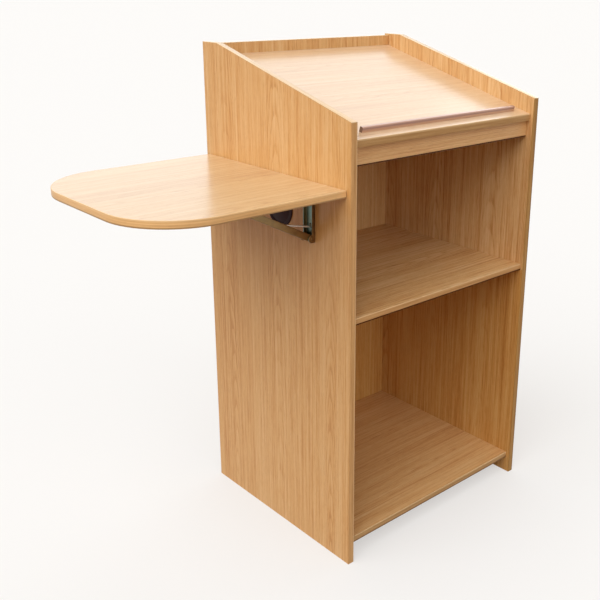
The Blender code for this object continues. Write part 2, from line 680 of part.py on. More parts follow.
left_panel = side_panel('left', LEFT, 1)
side_panel('right', RIGHT, -1)
back_panel()
desk()
shelf('middle_shelf', MIDDLE_SHELF_TOP, MIDDLE_SHELF_SETBACK)
shelf('bottom_shelf', BOTTOM_SHELF_TOP, BOTTOM_SHELF_SETBACK)
grommet(left_panel)
flap_hinge = pivot('flap_hinge', (HINGE_X, 0, HINGE_Z))
flap_piece = flap(flap_hinge)
for bracket_end, bracket_y in (('front', FRONT + BRACKET_INSET), ('rear', BACK - BRACKET_INSET)):
    wall_leg(bracket_end, bracket_y, left_panel)
    shelf_leg(bracket_end, bracket_y, flap_piece, flap_hinge)
    strut(bracket_end, bracket_y)
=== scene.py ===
# %% [markdown]
# # A presentation lectern in oak-faced board
#
# The real lectern is shop-made from chipboard that is faced with melamine paper, printed as oak and
# pressed with a slight gloss. Its cut edges wear a thin oak-printed band. A flap stands out from the
# left side on two folding steel brackets, and a dark plastic grommet lets cables through that side.
#
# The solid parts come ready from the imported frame, at their real size. This notebook gives them their
# looks: the boards keep their solids and get a grain, and the bands, the paper stop, the grommet and
# the steel get finer surfaces, each worked out with numpy on a grid.

# %% Load the frame
import json
import math

import bmesh
import bpy
import numpy as np
from mathutils import Matrix, Vector


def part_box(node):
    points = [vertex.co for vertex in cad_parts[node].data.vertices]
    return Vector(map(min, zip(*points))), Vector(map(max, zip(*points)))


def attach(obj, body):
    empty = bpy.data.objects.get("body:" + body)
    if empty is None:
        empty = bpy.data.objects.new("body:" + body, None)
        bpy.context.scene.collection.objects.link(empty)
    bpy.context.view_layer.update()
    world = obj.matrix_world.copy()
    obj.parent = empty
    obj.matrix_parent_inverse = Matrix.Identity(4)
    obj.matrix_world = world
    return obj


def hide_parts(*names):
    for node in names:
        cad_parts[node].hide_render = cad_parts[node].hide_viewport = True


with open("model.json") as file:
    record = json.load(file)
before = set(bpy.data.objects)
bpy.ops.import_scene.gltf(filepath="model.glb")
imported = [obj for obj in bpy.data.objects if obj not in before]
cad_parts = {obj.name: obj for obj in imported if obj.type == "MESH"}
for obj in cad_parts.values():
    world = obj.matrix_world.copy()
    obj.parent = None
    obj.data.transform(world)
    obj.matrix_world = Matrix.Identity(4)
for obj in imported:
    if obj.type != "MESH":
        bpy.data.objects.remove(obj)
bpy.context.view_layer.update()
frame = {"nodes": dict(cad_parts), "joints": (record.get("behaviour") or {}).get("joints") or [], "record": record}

# %% [markdown]
# ## Sizes
#
# Every place is read from the frame: a solid's box tells where a board starts and ends, and a joint
# tells where its pin is. Only what a box can't tell, such as the wall of a steel channel, is written
# down here. Lengths are in metres, X runs across the lectern, Y to its back and Z up.

# %% Read the boards' places from the frame
def low(node):
    """The lowest corner of a solid."""
    return np.array(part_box(node)[0])


def high(node):
    """The highest corner of a solid."""
    return np.array(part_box(node)[1])


FRONT, BACK = low("left_side_panel")[1] - 0.0013, high("left_rear_band")[1]
LEFT, INNER_LEFT = low("left_front_band")[0], high("left_front_band")[0]
INNER_RIGHT, RIGHT = low("right_front_band")[0], high("right_front_band")[0]
BOARD = INNER_LEFT - LEFT             # thickness of every board
BAND = 0.0013                         # edge band with its glue line
TOP_FLAT = 0.058                      # level top of each side, at the back
BACK_HEIGHT = high("left_top_band")[2]
FRONT_HEIGHT = 1.025
RISE = (BACK_HEIGHT - FRONT_HEIGHT) / (BACK - FRONT - TOP_FLAT)
TILT = math.atan(RISE)
print(f"board {1000 * BOARD:.1f} mm, slope {math.degrees(TILT):.1f} degrees")

# %% Read the pins' places from the joints
JOINTS = {joint["name"]: joint for joint in frame["joints"]}
BODY_OF = {node: body for body, nodes in frame["record"]["behaviour"]["bodies"].items()
           for node in nodes}
SLOT_OF = {part["node"]: part["material_slot"] for part in frame["record"]["subparts"]}
HINGE_X, _, HINGE_Z = JOINTS["flap_fold"]["pos_m"]
STRUT_Z = JOINTS["front_strut_swing"]["pos_m"][2]
BRACKET_Y = {end: JOINTS[end + "_strut_swing"]["pos_m"][1] for end in ("front", "rear")}
print("hinge line at", HINGE_X, HINGE_Z, "brackets at", BRACKET_Y)

# %% [markdown]
# ## Camera
#
# A long-ish lens stands in front of the lectern's left side, a little above the desk, and looks down
# on it. Such a view shows the flap, the desk and both open bays at once. The small lens shift keeps
# the verticals calm while the lectern stands right of the middle.

# %% Place the camera
def looking(yaw, pitch, roll):
    """A camera's turn: yaw from +Y to +X, pitch down and roll clockwise, in degrees."""
    yaw, pitch, roll = map(math.radians, (yaw, pitch, roll))
    ahead = Vector((math.sin(yaw) * math.cos(pitch), math.cos(yaw) * math.cos(pitch), -math.sin(pitch)))
    level = Vector((math.cos(yaw), -math.sin(yaw), 0))
    upright = level.cross(ahead)
    right = math.cos(roll) * level + math.sin(roll) * upright
    up = math.cos(roll) * upright - math.sin(roll) * level
    return Matrix((right, up, -ahead)).transposed().to_4x4()


camera_data = bpy.data.cameras.new("camera")
camera_data.sensor_width = 36
camera_data.lens = 51.68
camera_data.shift_x, camera_data.shift_y = -0.1098, -0.0791
camera = bpy.data.objects.new("camera", camera_data)
bpy.context.scene.collection.objects.link(camera)
camera.matrix_world = Matrix.Translation((-1.2065, -1.5106, 1.2937)) @ looking(43.116, 17.632, 0.752)
bpy.context.scene.camera = camera
bpy.context.scene.view_settings.view_transform = "Standard"

# %% [markdown]
# ## Studio
#
# The floor is a wide pale sheet that runs on behind the lectern, so that no horizon shows. Light comes
# from a pale sky that is brighter overhead, and from four very large soft lamps: a main one high on
# the left, one low in front, and two weak ones, high at the back and low on the right. Such lamps
# could be area lights, but suns with a wide angle are infinitely far away and light every spot alike.
#
# A Light Path node tells who looks. To the camera and in reflections the sky is one flat pale colour,
# and the floor is a grey sheet mixed with that same colour as a faint glow, so that the two run
# together while the lectern's shadow still shows. To light that bounces on, the floor is a brown one,
# as in a room with a wooden floor, which keeps the undersides of the boards warm.

# %% Small helpers for nodes
def add_node(tree, kind, inputs=None, **settings):
    """A node with its settings, and its inputs linked from sockets or set to values."""
    made = tree.nodes.new(kind)
    for name, value in settings.items():
        setattr(made, name, value)
    for name, value in (inputs or {}).items():
        if isinstance(value, bpy.types.NodeSocket):
            tree.links.new(value, made.inputs[name])
        else:
            made.inputs[name].default_value = value
    return made


def calc(tree, operation, *values, clamp=False):
    """The result of a Math node."""
    return add_node(tree, "ShaderNodeMath", dict(enumerate(values)), operation=operation,
                    use_clamp=clamp).outputs[0]


def blend_colours(tree, share, first, second, mode="MIX"):
    """Two colours mixed by a share of the second."""
    made = add_node(tree, "ShaderNodeMix", data_type="RGBA", blend_type=mode)
    for place, value in ((0, share), (6, first), (7, second)):
        if isinstance(value, bpy.types.NodeSocket):
            tree.links.new(value, made.inputs[place])
        else:
            made.inputs[place].default_value = value if place == 0 else (*value, 1)
    return made.outputs[2]


def steps(tree, value, places):
    """A Color Ramp through (position, grey or colour) places, as its colour."""
    ramp = add_node(tree, "ShaderNodeValToRGB", {0: value})
    while len(ramp.color_ramp.elements) < len(places):
        ramp.color_ramp.elements.new(0.5)
    for element, (position, colour) in zip(ramp.color_ramp.elements, places):
        element.position = position
        element.color = (*colour, 1) if isinstance(colour, tuple) else (colour, colour, colour, 1)
    return ramp.outputs[0]


def coordinates(tree):
    """The outputs of a Texture Coordinate node, such as Object, Normal and UV."""
    return add_node(tree, "ShaderNodeTexCoord").outputs


def xyz(tree, place):
    """The three axes of a vector."""
    return add_node(tree, "ShaderNodeSeparateXYZ", {0: place}).outputs


def empty_material(name):
    """A new material without nodes, and its tree."""
    made = bpy.data.materials.new(name)
    made.use_nodes = True
    made.node_tree.nodes.clear()
    return made, made.node_tree


def surface(tree, look, relief=None, strength=0.0):
    """The Principled shader with the inputs of look, over a bump of up to 0.2 mm * strength."""
    if relief is not None:
        bump = add_node(tree, "ShaderNodeBump", {"Height": relief, "Strength": strength,
                                                 "Distance": 0.0002})
        look = {**look, "Normal": bump.outputs[0]}
    shader = add_node(tree, "ShaderNodeBsdfPrincipled", look)
    add_node(tree, "ShaderNodeOutputMaterial", {"Surface": shader.outputs[0]})


# %% Sky
PALE = (0.985, 0.967, 0.942)          # colour of the backdrop, linear


def seen_directly(tree):
    """1 on rays from the camera, and on mirrored and refracted ones."""
    path = add_node(tree, "ShaderNodeLightPath").outputs
    mirrored = calc(tree, "MAXIMUM", path["Is Glossy Ray"], path["Is Transmission Ray"])
    return calc(tree, "MAXIMUM", path["Is Camera Ray"], mirrored)


world = bpy.data.worlds.new("studio")
bpy.context.scene.world = world
world.use_nodes = True
sky = world.node_tree
sky.nodes.clear()
overhead = xyz(sky, coordinates(sky)["Generated"])[2]
SKY_BASE, SKY_OVERHEAD = 0.24, 0.28   # its strength all round, and what is added towards the zenith
ambient = calc(sky, "MULTIPLY_ADD", calc(sky, "MAXIMUM", overhead, 0.0), SKY_OVERHEAD, SKY_BASE)
lit = add_node(sky, "ShaderNodeBackground", {"Color": (1.0, 0.985, 0.96, 1), "Strength": ambient})
shown = add_node(sky, "ShaderNodeBackground", {"Color": (*PALE, 1), "Strength": 1.0})
either = add_node(sky, "ShaderNodeMixShader",
                  {0: seen_directly(sky), 1: lit.outputs[0], 2: shown.outputs[0]})
add_node(sky, "ShaderNodeOutputWorld", {"Surface": either.outputs[0]})

# %% Lamps
def soft_lamp(name, towards, level, spread):
    """A very large far lamp. level is the brightness it alone gives a white sheet that faces it."""
    data = bpy.data.lights.new(name, "SUN")
    data.energy = level * math.pi
    data.angle = math.radians(spread)
    lamp = bpy.data.objects.new(name, data)
    bpy.context.scene.collection.objects.link(lamp)
    lamp.matrix_world = Vector(towards).to_track_quat("Z", "Y").to_matrix().to_4x4()
    return lamp


soft_lamp("left_softbox", (-0.69, -0.05, 0.72), 0.84, 70)
soft_lamp("back_softbox", (0.60, 0.55, 0.52), 0.18, 80)
soft_lamp("right_softbox", (0.95, 0.10, 0.20), 0.20, 60)
soft_lamp("front_softbox", (-0.19, -0.90, 0.40), 0.345, 70)

# %% Floor
FLOOR_REACH = 80.0                    # half the sheet's side
FLOOR_SEEN, FLOOR_TO_LIGHT = (0.75, 0.74, 0.73), (0.23, 0.13, 0.07)
FLOOR_GLOW = 0.55                     # share of the backdrop's own colour in what is seen
floor_mesh = bpy.data.meshes.new("floor")
corner = FLOOR_REACH * np.array([[-1, -1, 0], [1, -1, 0], [1, 1, 0], [-1, 1, 0]], float)
floor_mesh.from_pydata(corner.tolist(), [], [(0, 1, 2, 3)])
floor = bpy.data.objects.new("floor", floor_mesh)
bpy.context.scene.collection.objects.link(floor)
paint, tree = empty_material("floor_paint")
seen = seen_directly(tree)
sheet_colour = blend_colours(tree, seen, FLOOR_TO_LIGHT, FLOOR_SEEN)
paper = add_node(tree, "ShaderNodeBsdfDiffuse", {"Color": sheet_colour})
glow = add_node(tree, "ShaderNodeEmission", {"Color": (*PALE, 1), "Strength": 1.0})
paper = add_node(tree, "ShaderNodeMixShader", {0: calc(tree, "MULTIPLY", seen, FLOOR_GLOW),
                                               1: paper.outputs[0], 2: glow.outputs[0]})
add_node(tree, "ShaderNodeOutputMaterial", {"Surface": paper.outputs[0]})
floor_mesh.materials.append(paint)

# %% [markdown]
# ## Oak print
#
# The print copies flat-sawn oak. In such a board the saw cuts through the tree's growth rings nearly
# along them: if the ring's radius is r, the distance across the board from the middle of a figure is
# a, and the heart of the tree lies at depth d below the face, then r * r = a * a + d * d. The tree
# tapers, so d changes slowly along the board, and the rings show as nested arches in the middle of a
# figure and as straight lines beside it. A picture of the print would also work, but the formula gives
# each board its own grain at its true size, and needs no file.
#
# The pattern is built once as a node group. Its inputs are a place on the board in metres, with X
# across the grain, Y into the board and Z along the grain, and the contrast of the print.

# %% The grain's measures
FIGURE_WIDTH = 0.190                  # from one column of arches to the next
RING = 0.0030                         # distance between growth rings
TAPER = 0.042                         # how fast the heart's depth changes along the board
MEAN_TONE = 0.50                      # tone that stays when the print's contrast changes
OAK_LIGHT = (0.720, 0.460, 0.220)     # linear colours of the print, from pale late wood
OAK_MID = (0.632, 0.344, 0.122)
OAK_DARK = (0.420, 0.150, 0.026)      # to dark early wood


def noise(tree, place, per_metre, detail=2.0, roughness=0.5):
    """Soft noise from 0 to 1, with so many features per metre of each axis."""
    place = add_node(tree, "ShaderNodeVectorMath", {0: place, 1: per_metre}, operation="MULTIPLY")
    return add_node(tree, "ShaderNodeTexNoise", {"Vector": place.outputs[0], "Scale": 1.0,
                                                 "Detail": detail, "Roughness": roughness}).outputs[0]


def swing(tree, value, reach, base=0.0):
    """base + (value - 0.5) * reach, which lets a noise push a tone both ways."""
    return calc(tree, "MULTIPLY_ADD", value, reach, calc(tree, "SUBTRACT", base, 0.5 * reach))


# %% The ring pattern
def rings(tree, place):
    """How far through its growth ring a place is, from 0 to 1.

    r = sqrt(a^2 + (depth + taper * along)^2) with some wander, and the share is fract(r / ring)."""
    parts = xyz(tree, place)
    wander = noise(tree, place, (7, 40, 1.8), 1.0)
    across = calc(tree, "MULTIPLY_ADD", wander, 0.030, parts[0])
    column = calc(tree, "FLOOR", calc(tree, "DIVIDE", across, FIGURE_WIDTH))
    middle = calc(tree, "MULTIPLY", calc(tree, "ADD", column, 0.5), FIGURE_WIDTH)
    aside = calc(tree, "SUBTRACT", across, middle)
    face = calc(tree, "FLOOR", calc(tree, "DIVIDE", parts[1], 0.009))
    spot = add_node(tree, "ShaderNodeCombineXYZ", {0: column, 1: face}).outputs[0]
    draw = add_node(tree, "ShaderNodeTexWhiteNoise", {"Vector": spot}, noise_dimensions="3D").outputs[0]
    start = calc(tree, "MULTIPLY_ADD", draw, 0.030, 0.018)
    depth = calc(tree, "MULTIPLY_ADD", parts[2], TAPER, start)
    radius = calc(tree, "SQRT", calc(tree, "ADD", calc(tree, "MULTIPLY", aside, aside),
                                     calc(tree, "MULTIPLY", depth, depth)))
    ripple = noise(tree, place, (60, 60, 6))
    radius = calc(tree, "MULTIPLY_ADD", ripple, 0.0040, radius)
    return calc(tree, "FRACT", calc(tree, "DIVIDE", radius, RING))


# %% The whole print
def make_oak_print():
    """The node group: a place and the print's contrast in, colour, pore and fibre out."""
    group = bpy.data.node_groups.new("oak_print", "ShaderNodeTree")
    group.interface.new_socket("Place", in_out="INPUT", socket_type="NodeSocketVector")
    group.interface.new_socket("Contrast", in_out="INPUT", socket_type="NodeSocketFloat")
    for name, kind in (("Color", "NodeSocketColor"), ("Pore", "NodeSocketFloat"),
                       ("Fibre", "NodeSocketFloat")):
        group.interface.new_socket(name, in_out="OUTPUT", socket_type=kind)
    place, contrast = group.nodes.new("NodeGroupInput").outputs[:2]
    share = rings(group, place)

    early = steps(group, share, [(0.0, 1.0), (0.14, 0.85), (0.36, 0.30), (0.62, 0.06), (0.90, 0.0),
                                 (1.0, 1.0)])
    patchy = noise(group, place, (24, 30, 2.0))
    early = calc(group, "MULTIPLY", early, calc(group, "MULTIPLY_ADD", patchy, 2.4, -0.55, clamp=True))
    broad = noise(group, place, (20, 45, 0.6))
    streak = noise(group, place, (150, 120, 1.1), 2.0, 0.6)
    thread = noise(group, place, (320, 200, 7.0), 2.0, 0.6)
    fibre = noise(group, place, (700, 400, 38), 2.0, 0.6)

    tone = swing(group, broad, 0.34, 0.66)
    tone = swing(group, streak, 1.00, tone)
    tone = swing(group, thread, 0.95, tone)
    tone = swing(group, fibre, 0.60, tone)
    tone = calc(group, "MULTIPLY_ADD", early, -0.26, tone)
    tone = calc(group, "MULTIPLY_ADD", calc(group, "SUBTRACT", tone, MEAN_TONE), contrast, MEAN_TONE,
                clamp=True)
    colour = steps(group, tone, [(0.0, OAK_DARK), (0.55, OAK_MID), (1.0, OAK_LIGHT)])

    grain = noise(group, place, (1300, 700, 75), 1.0)
    pore = calc(group, "MULTIPLY", steps(group, grain, [(0.56, 0.0), (0.68, 1.0)]),
                calc(group, "MULTIPLY_ADD", early, 0.8, 0.2))
    colour = blend_colours(group, calc(group, "MULTIPLY", pore, 0.45), colour, (0.28, 0.11, 0.03))
    add_node(group, "NodeGroupOutput", {"Color": colour, "Pore": pore, "Fibre": fibre})
    return group


OAK_PRINT = make_oak_print()
print("oak print:", len(OAK_PRINT.nodes), "nodes")

# %% [markdown]
# ## Faced boards
#
# Each board is one solid with its own material, so that no two boards share their figure. A Mapping
# node turns the board's own axes to the print's: across, into and along. The melamine is hard and
# faintly glossy: a clear coat over a slightly rougher print, with the pores pressed in as a bump.
#
# The boards differ a little: in the contrast and the tint of their print, in how far their colour is
# mixed towards a pale one, and in gloss. On the desk and the flap that pale share is large, a painted
# highlight, and they are the glossiest. The faces round the low bay get painted shade, a darker and
# more saturated colour. The bottom ends of the upright boards are bare chipboard.

# %% How the print lies on a board
PALE_AND_HIGHLIGHT = (0.64, 0.57, 0.48)            # pale colour the print is mixed towards: painted highlight on the desk and flap
LOW_BAY_SHADE = (0.88, 0.78, 0.54)             # times the colour: painted shade on the faces round the low bay
ARRIS_SHADE = (0.075, 0.024, 0.005)         # painted shade: a dark line along some arrises
TURNS = {
    # (across, into, along) of the print, from the object's X, Y and Z
    "upright_side": Matrix(((0, -1, 0), (1, 0, 0), (0, 0, 1))),
    "upright_back": Matrix.Identity(3),
    "level": Matrix(((0, 1, 0), (0, 0, 1), (1, 0, 0))),
    "rail": Matrix(((0, 0, 1), (0, -1, 0), (1, 0, 0))),
}


def in_low_bay(tree, place):
    """1 on the faces round the low bay: between the sides, before the back, under the middle shelf."""
    x, y, z = xyz(tree, place)
    beside = calc(tree, "MULTIPLY", calc(tree, "GREATER_THAN", x, float(INNER_LEFT) - 0.001),
                  calc(tree, "LESS_THAN", x, float(INNER_RIGHT) + 0.001))
    before = calc(tree, "LESS_THAN", y, float(BACK - BOARD) + 0.001)
    under = calc(tree, "LESS_THAN", z, float(low("middle_shelf")[2]))
    return calc(tree, "MULTIPLY", beside, calc(tree, "MULTIPLY", before, under))


def faced_board(name, turn, shift, gloss, sheen=0.2, pale_and_highlight=0.0, tilt=0.0, raw_ends=False,
                shade_low_bay=False, foot=None, contrast=1.0, tint_and_light=None):
    """Melamine over chipboard; shift moves the print, in metres, and tilt follows a sloping board.
    gloss is how much clear coat the face has kept, sheen the reflection of the print under it,
    contrast how strongly it was printed, and tint_and_light the colour it is multiplied by, which
    on the flap also tunes the colour of its painted highlight. pale_and_highlight is how far the
    colour is mixed towards a pale one: a painted highlight on the desk and the flap, a slight paling
    elsewhere. shade_low_bay boards get painted shade, a darker and more saturated colour, on the
    faces round the low bay. Up to the height foot the lower arris is painted dark, a painted shade line."""
    made, tree = empty_material(name)
    spot = coordinates(tree)
    lie = TURNS[turn] @ Matrix.Rotation(-tilt, 3, "X")
    place = add_node(tree, "ShaderNodeMapping", {"Vector": spot["Object"], "Location": shift,
                                                 "Rotation": lie.to_euler()}).outputs[0]
    oak = add_node(tree, "ShaderNodeGroup", node_tree=OAK_PRINT)
    tree.links.new(place, oak.inputs[0])
    oak.inputs[1].default_value = contrast
    colour, rough = oak.outputs[0], calc(tree, "MULTIPLY_ADD", oak.outputs[1], 0.20, 0.34)
    if raw_ends:
        end = calc(tree, "LESS_THAN", xyz(tree, spot["Normal"])[2], -0.9)
        chips = add_node(tree, "ShaderNodeTexVoronoi", {"Vector": spot["Object"], "Scale": 520.0})
        draw = add_node(tree, "ShaderNodeSeparateColor", {0: chips.outputs["Color"]}).outputs[0]
        chip = steps(tree, draw, [(0.0, (0.30, 0.17, 0.08)), (0.5, (0.52, 0.34, 0.18)),
                                  (1.0, (0.68, 0.50, 0.31))])
        colour = blend_colours(tree, end, colour, chip)
        rough = calc(tree, "MAXIMUM", rough, calc(tree, "MULTIPLY", end, 0.9))
    # the board's colour tint, which on the flap also tunes the colour of its painted highlight
    if tint_and_light:
        colour = blend_colours(tree, 1.0, colour, tint_and_light, "MULTIPLY")
    # painted highlight on the desk and the flap, a slight paling elsewhere: the colour mixed towards a pale one
    if pale_and_highlight:
        colour = blend_colours(tree, pale_and_highlight, colour, PALE_AND_HIGHLIGHT)
    # painted shade: a darker, more saturated colour on the faces round the low bay
    if shade_low_bay:
        colour = blend_colours(tree, in_low_bay(tree, spot["Object"]), colour,
                               blend_colours(tree, 1.0, colour, LOW_BAY_SHADE, "MULTIPLY"))
    # painted shade: a dark line along the lower arris, up to the height foot
    if foot:
        under = calc(tree, "LESS_THAN", xyz(tree, spot["Object"])[2], foot)
        colour = blend_colours(tree, under, colour, ARRIS_SHADE)
        rough = calc(tree, "MAXIMUM", rough, under)
    relief = calc(tree, "MULTIPLY_ADD", oak.outputs[2], 0.25,
                  calc(tree, "MULTIPLY", oak.outputs[1], -0.6))
    surface(tree, {"Base Color": colour, "Roughness": rough, "Specular IOR Level": sheen,
                   "Coat Weight": gloss, "Coat Roughness": 0.22, "Coat IOR": 1.7}, relief, 0.12)
    return made


def give(node, finish):
    """Put a finish on a solid of the frame."""
    solid = frame["nodes"][node]
    for place in range(max(1, len(solid.material_slots))):
        if place >= len(solid.data.materials):
            solid.data.materials.append(finish)
        solid.material_slots[place].link = "OBJECT"
        solid.material_slots[place].material = finish


# %% Face the boards
FASCIA_FOOT = float(low("fascia_rail")[2]) + 0.0030
BOARDS = {
    "left_side_panel": dict(turn="upright_side", shift=(0.261, 0.0, -0.30), gloss=0.15, raw_ends=True,
                            shade_low_bay=True),
    "right_side_panel": dict(turn="upright_side", shift=(0.313, 0.4, 0.15), gloss=0.1, sheen=0.1,
                             pale_and_highlight=0.05, raw_ends=True, shade_low_bay=True, contrast=1.35),
    "back_panel": dict(turn="upright_back", shift=(0.11, 0.9, -0.45), gloss=0.1, sheen=0.1, pale_and_highlight=0.04,
                       raw_ends=True, shade_low_bay=True, contrast=1.3),
    "desk_board": dict(turn="level", shift=(0.05, 0.3, 0.60), gloss=0.95, pale_and_highlight=0.33, tilt=TILT),
    "fascia_rail": dict(turn="rail", shift=(0.37, 0.7, -0.20), gloss=0.1, pale_and_highlight=0.07, foot=FASCIA_FOOT),
    "middle_shelf": dict(turn="level", shift=(0.14, 1.3, 0.25), gloss=0.3, pale_and_highlight=0.05, contrast=1.6),
    "bottom_shelf": dict(turn="level", shift=(0.22, 1.9, -0.70), gloss=0.3, pale_and_highlight=0.05),
    "flap_board": dict(turn="level", shift=(0.31, 2.3, 0.50), gloss=0.68, pale_and_highlight=0.22,
                       tint_and_light=(0.99, 1.05, 1.05)),
}
for node, choices in BOARDS.items():
    give(node, faced_board("oak_on_" + node, **choices))
print("faced boards:", len(BOARDS))

# %% Dowels of plain beech, out of sight
def beech():
    """Raw beech: fine streaks along X and small darker flecks."""
    made, tree = empty_material("beech")
    streak = noise(tree, coordinates(tree)["Object"], (40, 900, 900), 3.0)
    colour = steps(tree, streak, [(0.3, (0.50, 0.30, 0.16)), (0.7, (0.68, 0.46, 0.28))])
    surface(tree, {"Base Color": colour, "Roughness": 0.7})
    return made


BEECH = beech()
for node in frame["nodes"]:
    if SLOT_OF[node] == "dowel_beech":
        give(node, BEECH)

# %% [markdown]
# ## Surfaces from grids
#
# Every new piece starts as a grid of points: row i runs along the piece and column j runs round it.
# The whole grid is one numpy array, and each four neighbours make a quad. Where two corners of the
# grid meet, as at a seam, a pole or the ends of a slot, they are merged afterwards.

# %% Make a mesh from grids
def sheet(points, keep=None, ends=False):
    """A grid's corners, faces and texture places.

    Quad [i, j] joins points[i, j] with its next neighbours, if keep[i, j] allows it. ends closes the
    first and the last row with one face each. The texture place is (metres along, metres round)."""
    rows, columns = points.shape[:2]
    corner = np.arange(rows * columns).reshape(rows, columns)
    quads = np.stack([corner[:-1, :-1], corner[1:, :-1], corner[1:, 1:], corner[:-1, 1:]], -1)
    faces = quads.reshape(-1, 4).tolist() if keep is None else quads[keep].tolist()
    if ends:
        faces += [corner[0, :-1].tolist(), corner[-1, :-1].tolist()]
    along = np.linalg.norm(np.diff(points, axis=0), axis=2).mean(1)
    around = np.linalg.norm(np.diff(points, axis=1), axis=2).max(0)
    texture = np.stack(np.meshgrid(np.append(0, along.cumsum()), np.append(0, around.cumsum()),
                                   indexing="ij"), -1)
    return points.reshape(-1, 3), faces, texture.reshape(-1, 2)


def skin(name, sheets, finish, smooth=40):
    """One object from sheets: doubled corners merged, faces outwards, sharp above an angle."""
    counts = np.cumsum([0] + [len(corners) for corners, _, _ in sheets])
    faces = [[int(start) + corner for corner in face]
             for start, (_, some, _) in zip(counts, sheets) for face in some]
    mesh = bpy.data.meshes.new(name)
    mesh.from_pydata(np.concatenate([corners for corners, _, _ in sheets]).tolist(), [], faces)
    places = np.concatenate([texture for _, _, texture in sheets])[np.concatenate(faces)]
    mesh.uv_layers.new(name="metres").data.foreach_set("uv", places.astype(np.float32).ravel())
    merge(mesh)
    mesh.shade_smooth()
    mesh.set_sharp_from_angle(angle=math.radians(smooth))
    mesh.materials.append(finish)
    piece = bpy.data.objects.new(name, mesh)
    bpy.context.scene.collection.objects.link(piece)
    return piece


def merge(mesh):
    """Merge doubled corners, drop what has no area, and turn the faces outwards."""
    cage = bmesh.new()
    cage.from_mesh(mesh)
    bmesh.ops.remove_doubles(cage, verts=cage.verts, dist=2e-6)
    bmesh.ops.dissolve_degenerate(cage, dist=1e-6, edges=cage.edges)
    loose = [corner for corner in cage.verts if not corner.link_faces]
    bmesh.ops.delete(cage, geom=loose, context="VERTS")
    bmesh.ops.recalc_face_normals(cage, faces=cage.faces)
    cage.to_mesh(mesh)
    cage.free()


# %% Profiles, and what is carried or turned from them
def rounded(corners, radii, steps_each=4):
    """Round each corner P of a closed polygon: with unit vectors u and v to its neighbours and the
    angle t between them, the arc's centre is P + (u + v) / |u + v| * r / sin(t / 2)."""
    corners = np.asarray(corners, float)
    radii = np.maximum(np.broadcast_to(np.asarray(radii, float), len(corners)), 1e-6)[:, None]
    unit = lambda a: a / np.linalg.norm(a, axis=1, keepdims=True)
    u, v = unit(np.roll(corners, 1, 0) - corners), unit(np.roll(corners, -1, 0) - corners)
    angle = np.arccos(np.clip((u * v).sum(1), -1, 1))[:, None]
    centre = corners + unit(u + v) * radii / np.sin(angle / 2)
    start, end = (corners + w * radii / np.tan(angle / 2) - centre for w in (u, v))
    share = np.linspace(0, 1, steps_each + 1)[None, :, None]
    turn = (math.pi - angle)[:, :, None]
    arc = np.sin((1 - share) * turn) * start[:, None] + np.sin(share * turn) * end[:, None]
    loop = (centre[:, None] + arc / np.sin(turn)).reshape(-1, corners.shape[1])
    return np.concatenate([loop, loop[:1]])


def carried(profile, path, outward, across):
    """point[i, j] = path[i] + profile[j, 0] * outward[i] + profile[j, 1] * across[i]."""
    path, outward, across = (np.broadcast_to(np.asarray(a, float), (len(path), 3))
                             for a in (path, outward, across))
    return (path[:, None] + profile[None, :, :1] * outward[:, None]
            + profile[None, :, 1:] * across[:, None])


def revolved(profile, columns=64):
    """point[i, j] = (r[i] * cos(turn[j]), r[i] * sin(turn[j]), h[i]) for a profile of (r, h)."""
    turn = np.linspace(0, 2 * math.pi, columns + 1)
    radius, height = np.asarray(profile, float).T[:, :, None]
    return np.stack([radius * np.cos(turn), radius * np.sin(turn), height + 0 * turn], -1)


# %% Let a new piece stand for a solid
def stand_for(piece, node):
    """The piece rides on the solid's body and hides the solid; a printout tells how near its box lies to the
    solid's.
    """
    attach(piece, BODY_OF[node])
    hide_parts(node)
    corners = np.array([corner.co for corner in piece.data.vertices])
    off = max(np.abs(corners.min(0) - low(node)).max(), np.abs(corners.max(0) - high(node)).max())
    print(f"{piece.name}: {len(piece.data.polygons)} faces,",
          f"box within {1000 * off:.2f} mm of the solid's")
    return piece


# %% [markdown]
# ## Edge bands
#
# The real bands are 1 mm strips, glued on and trimmed flush, with a small round on each arris that
# catches the light. A band is a profile carried along the board's edge. At a corner the outward
# direction is lengthened, so that the strip keeps its thickness through the mitre. Its print runs
# along the strip, so its material reads the strip's own UV map, in metres. Each group of bands is the
# same finish in its own tint, which holds painted light: paler on the bands that face up, as a painted
# highlight, and darker on the desk's front edge, as painted shade. Some arrises carry a painted
# highlight or shade line.

# %% Band finish
STRIP_ROUND = 0.018                   # the strip's way round, over which its UV map runs
ARRIS_HIGHLIGHT = (0.80, 0.58, 0.33)       # painted highlight: a pale line along an arris


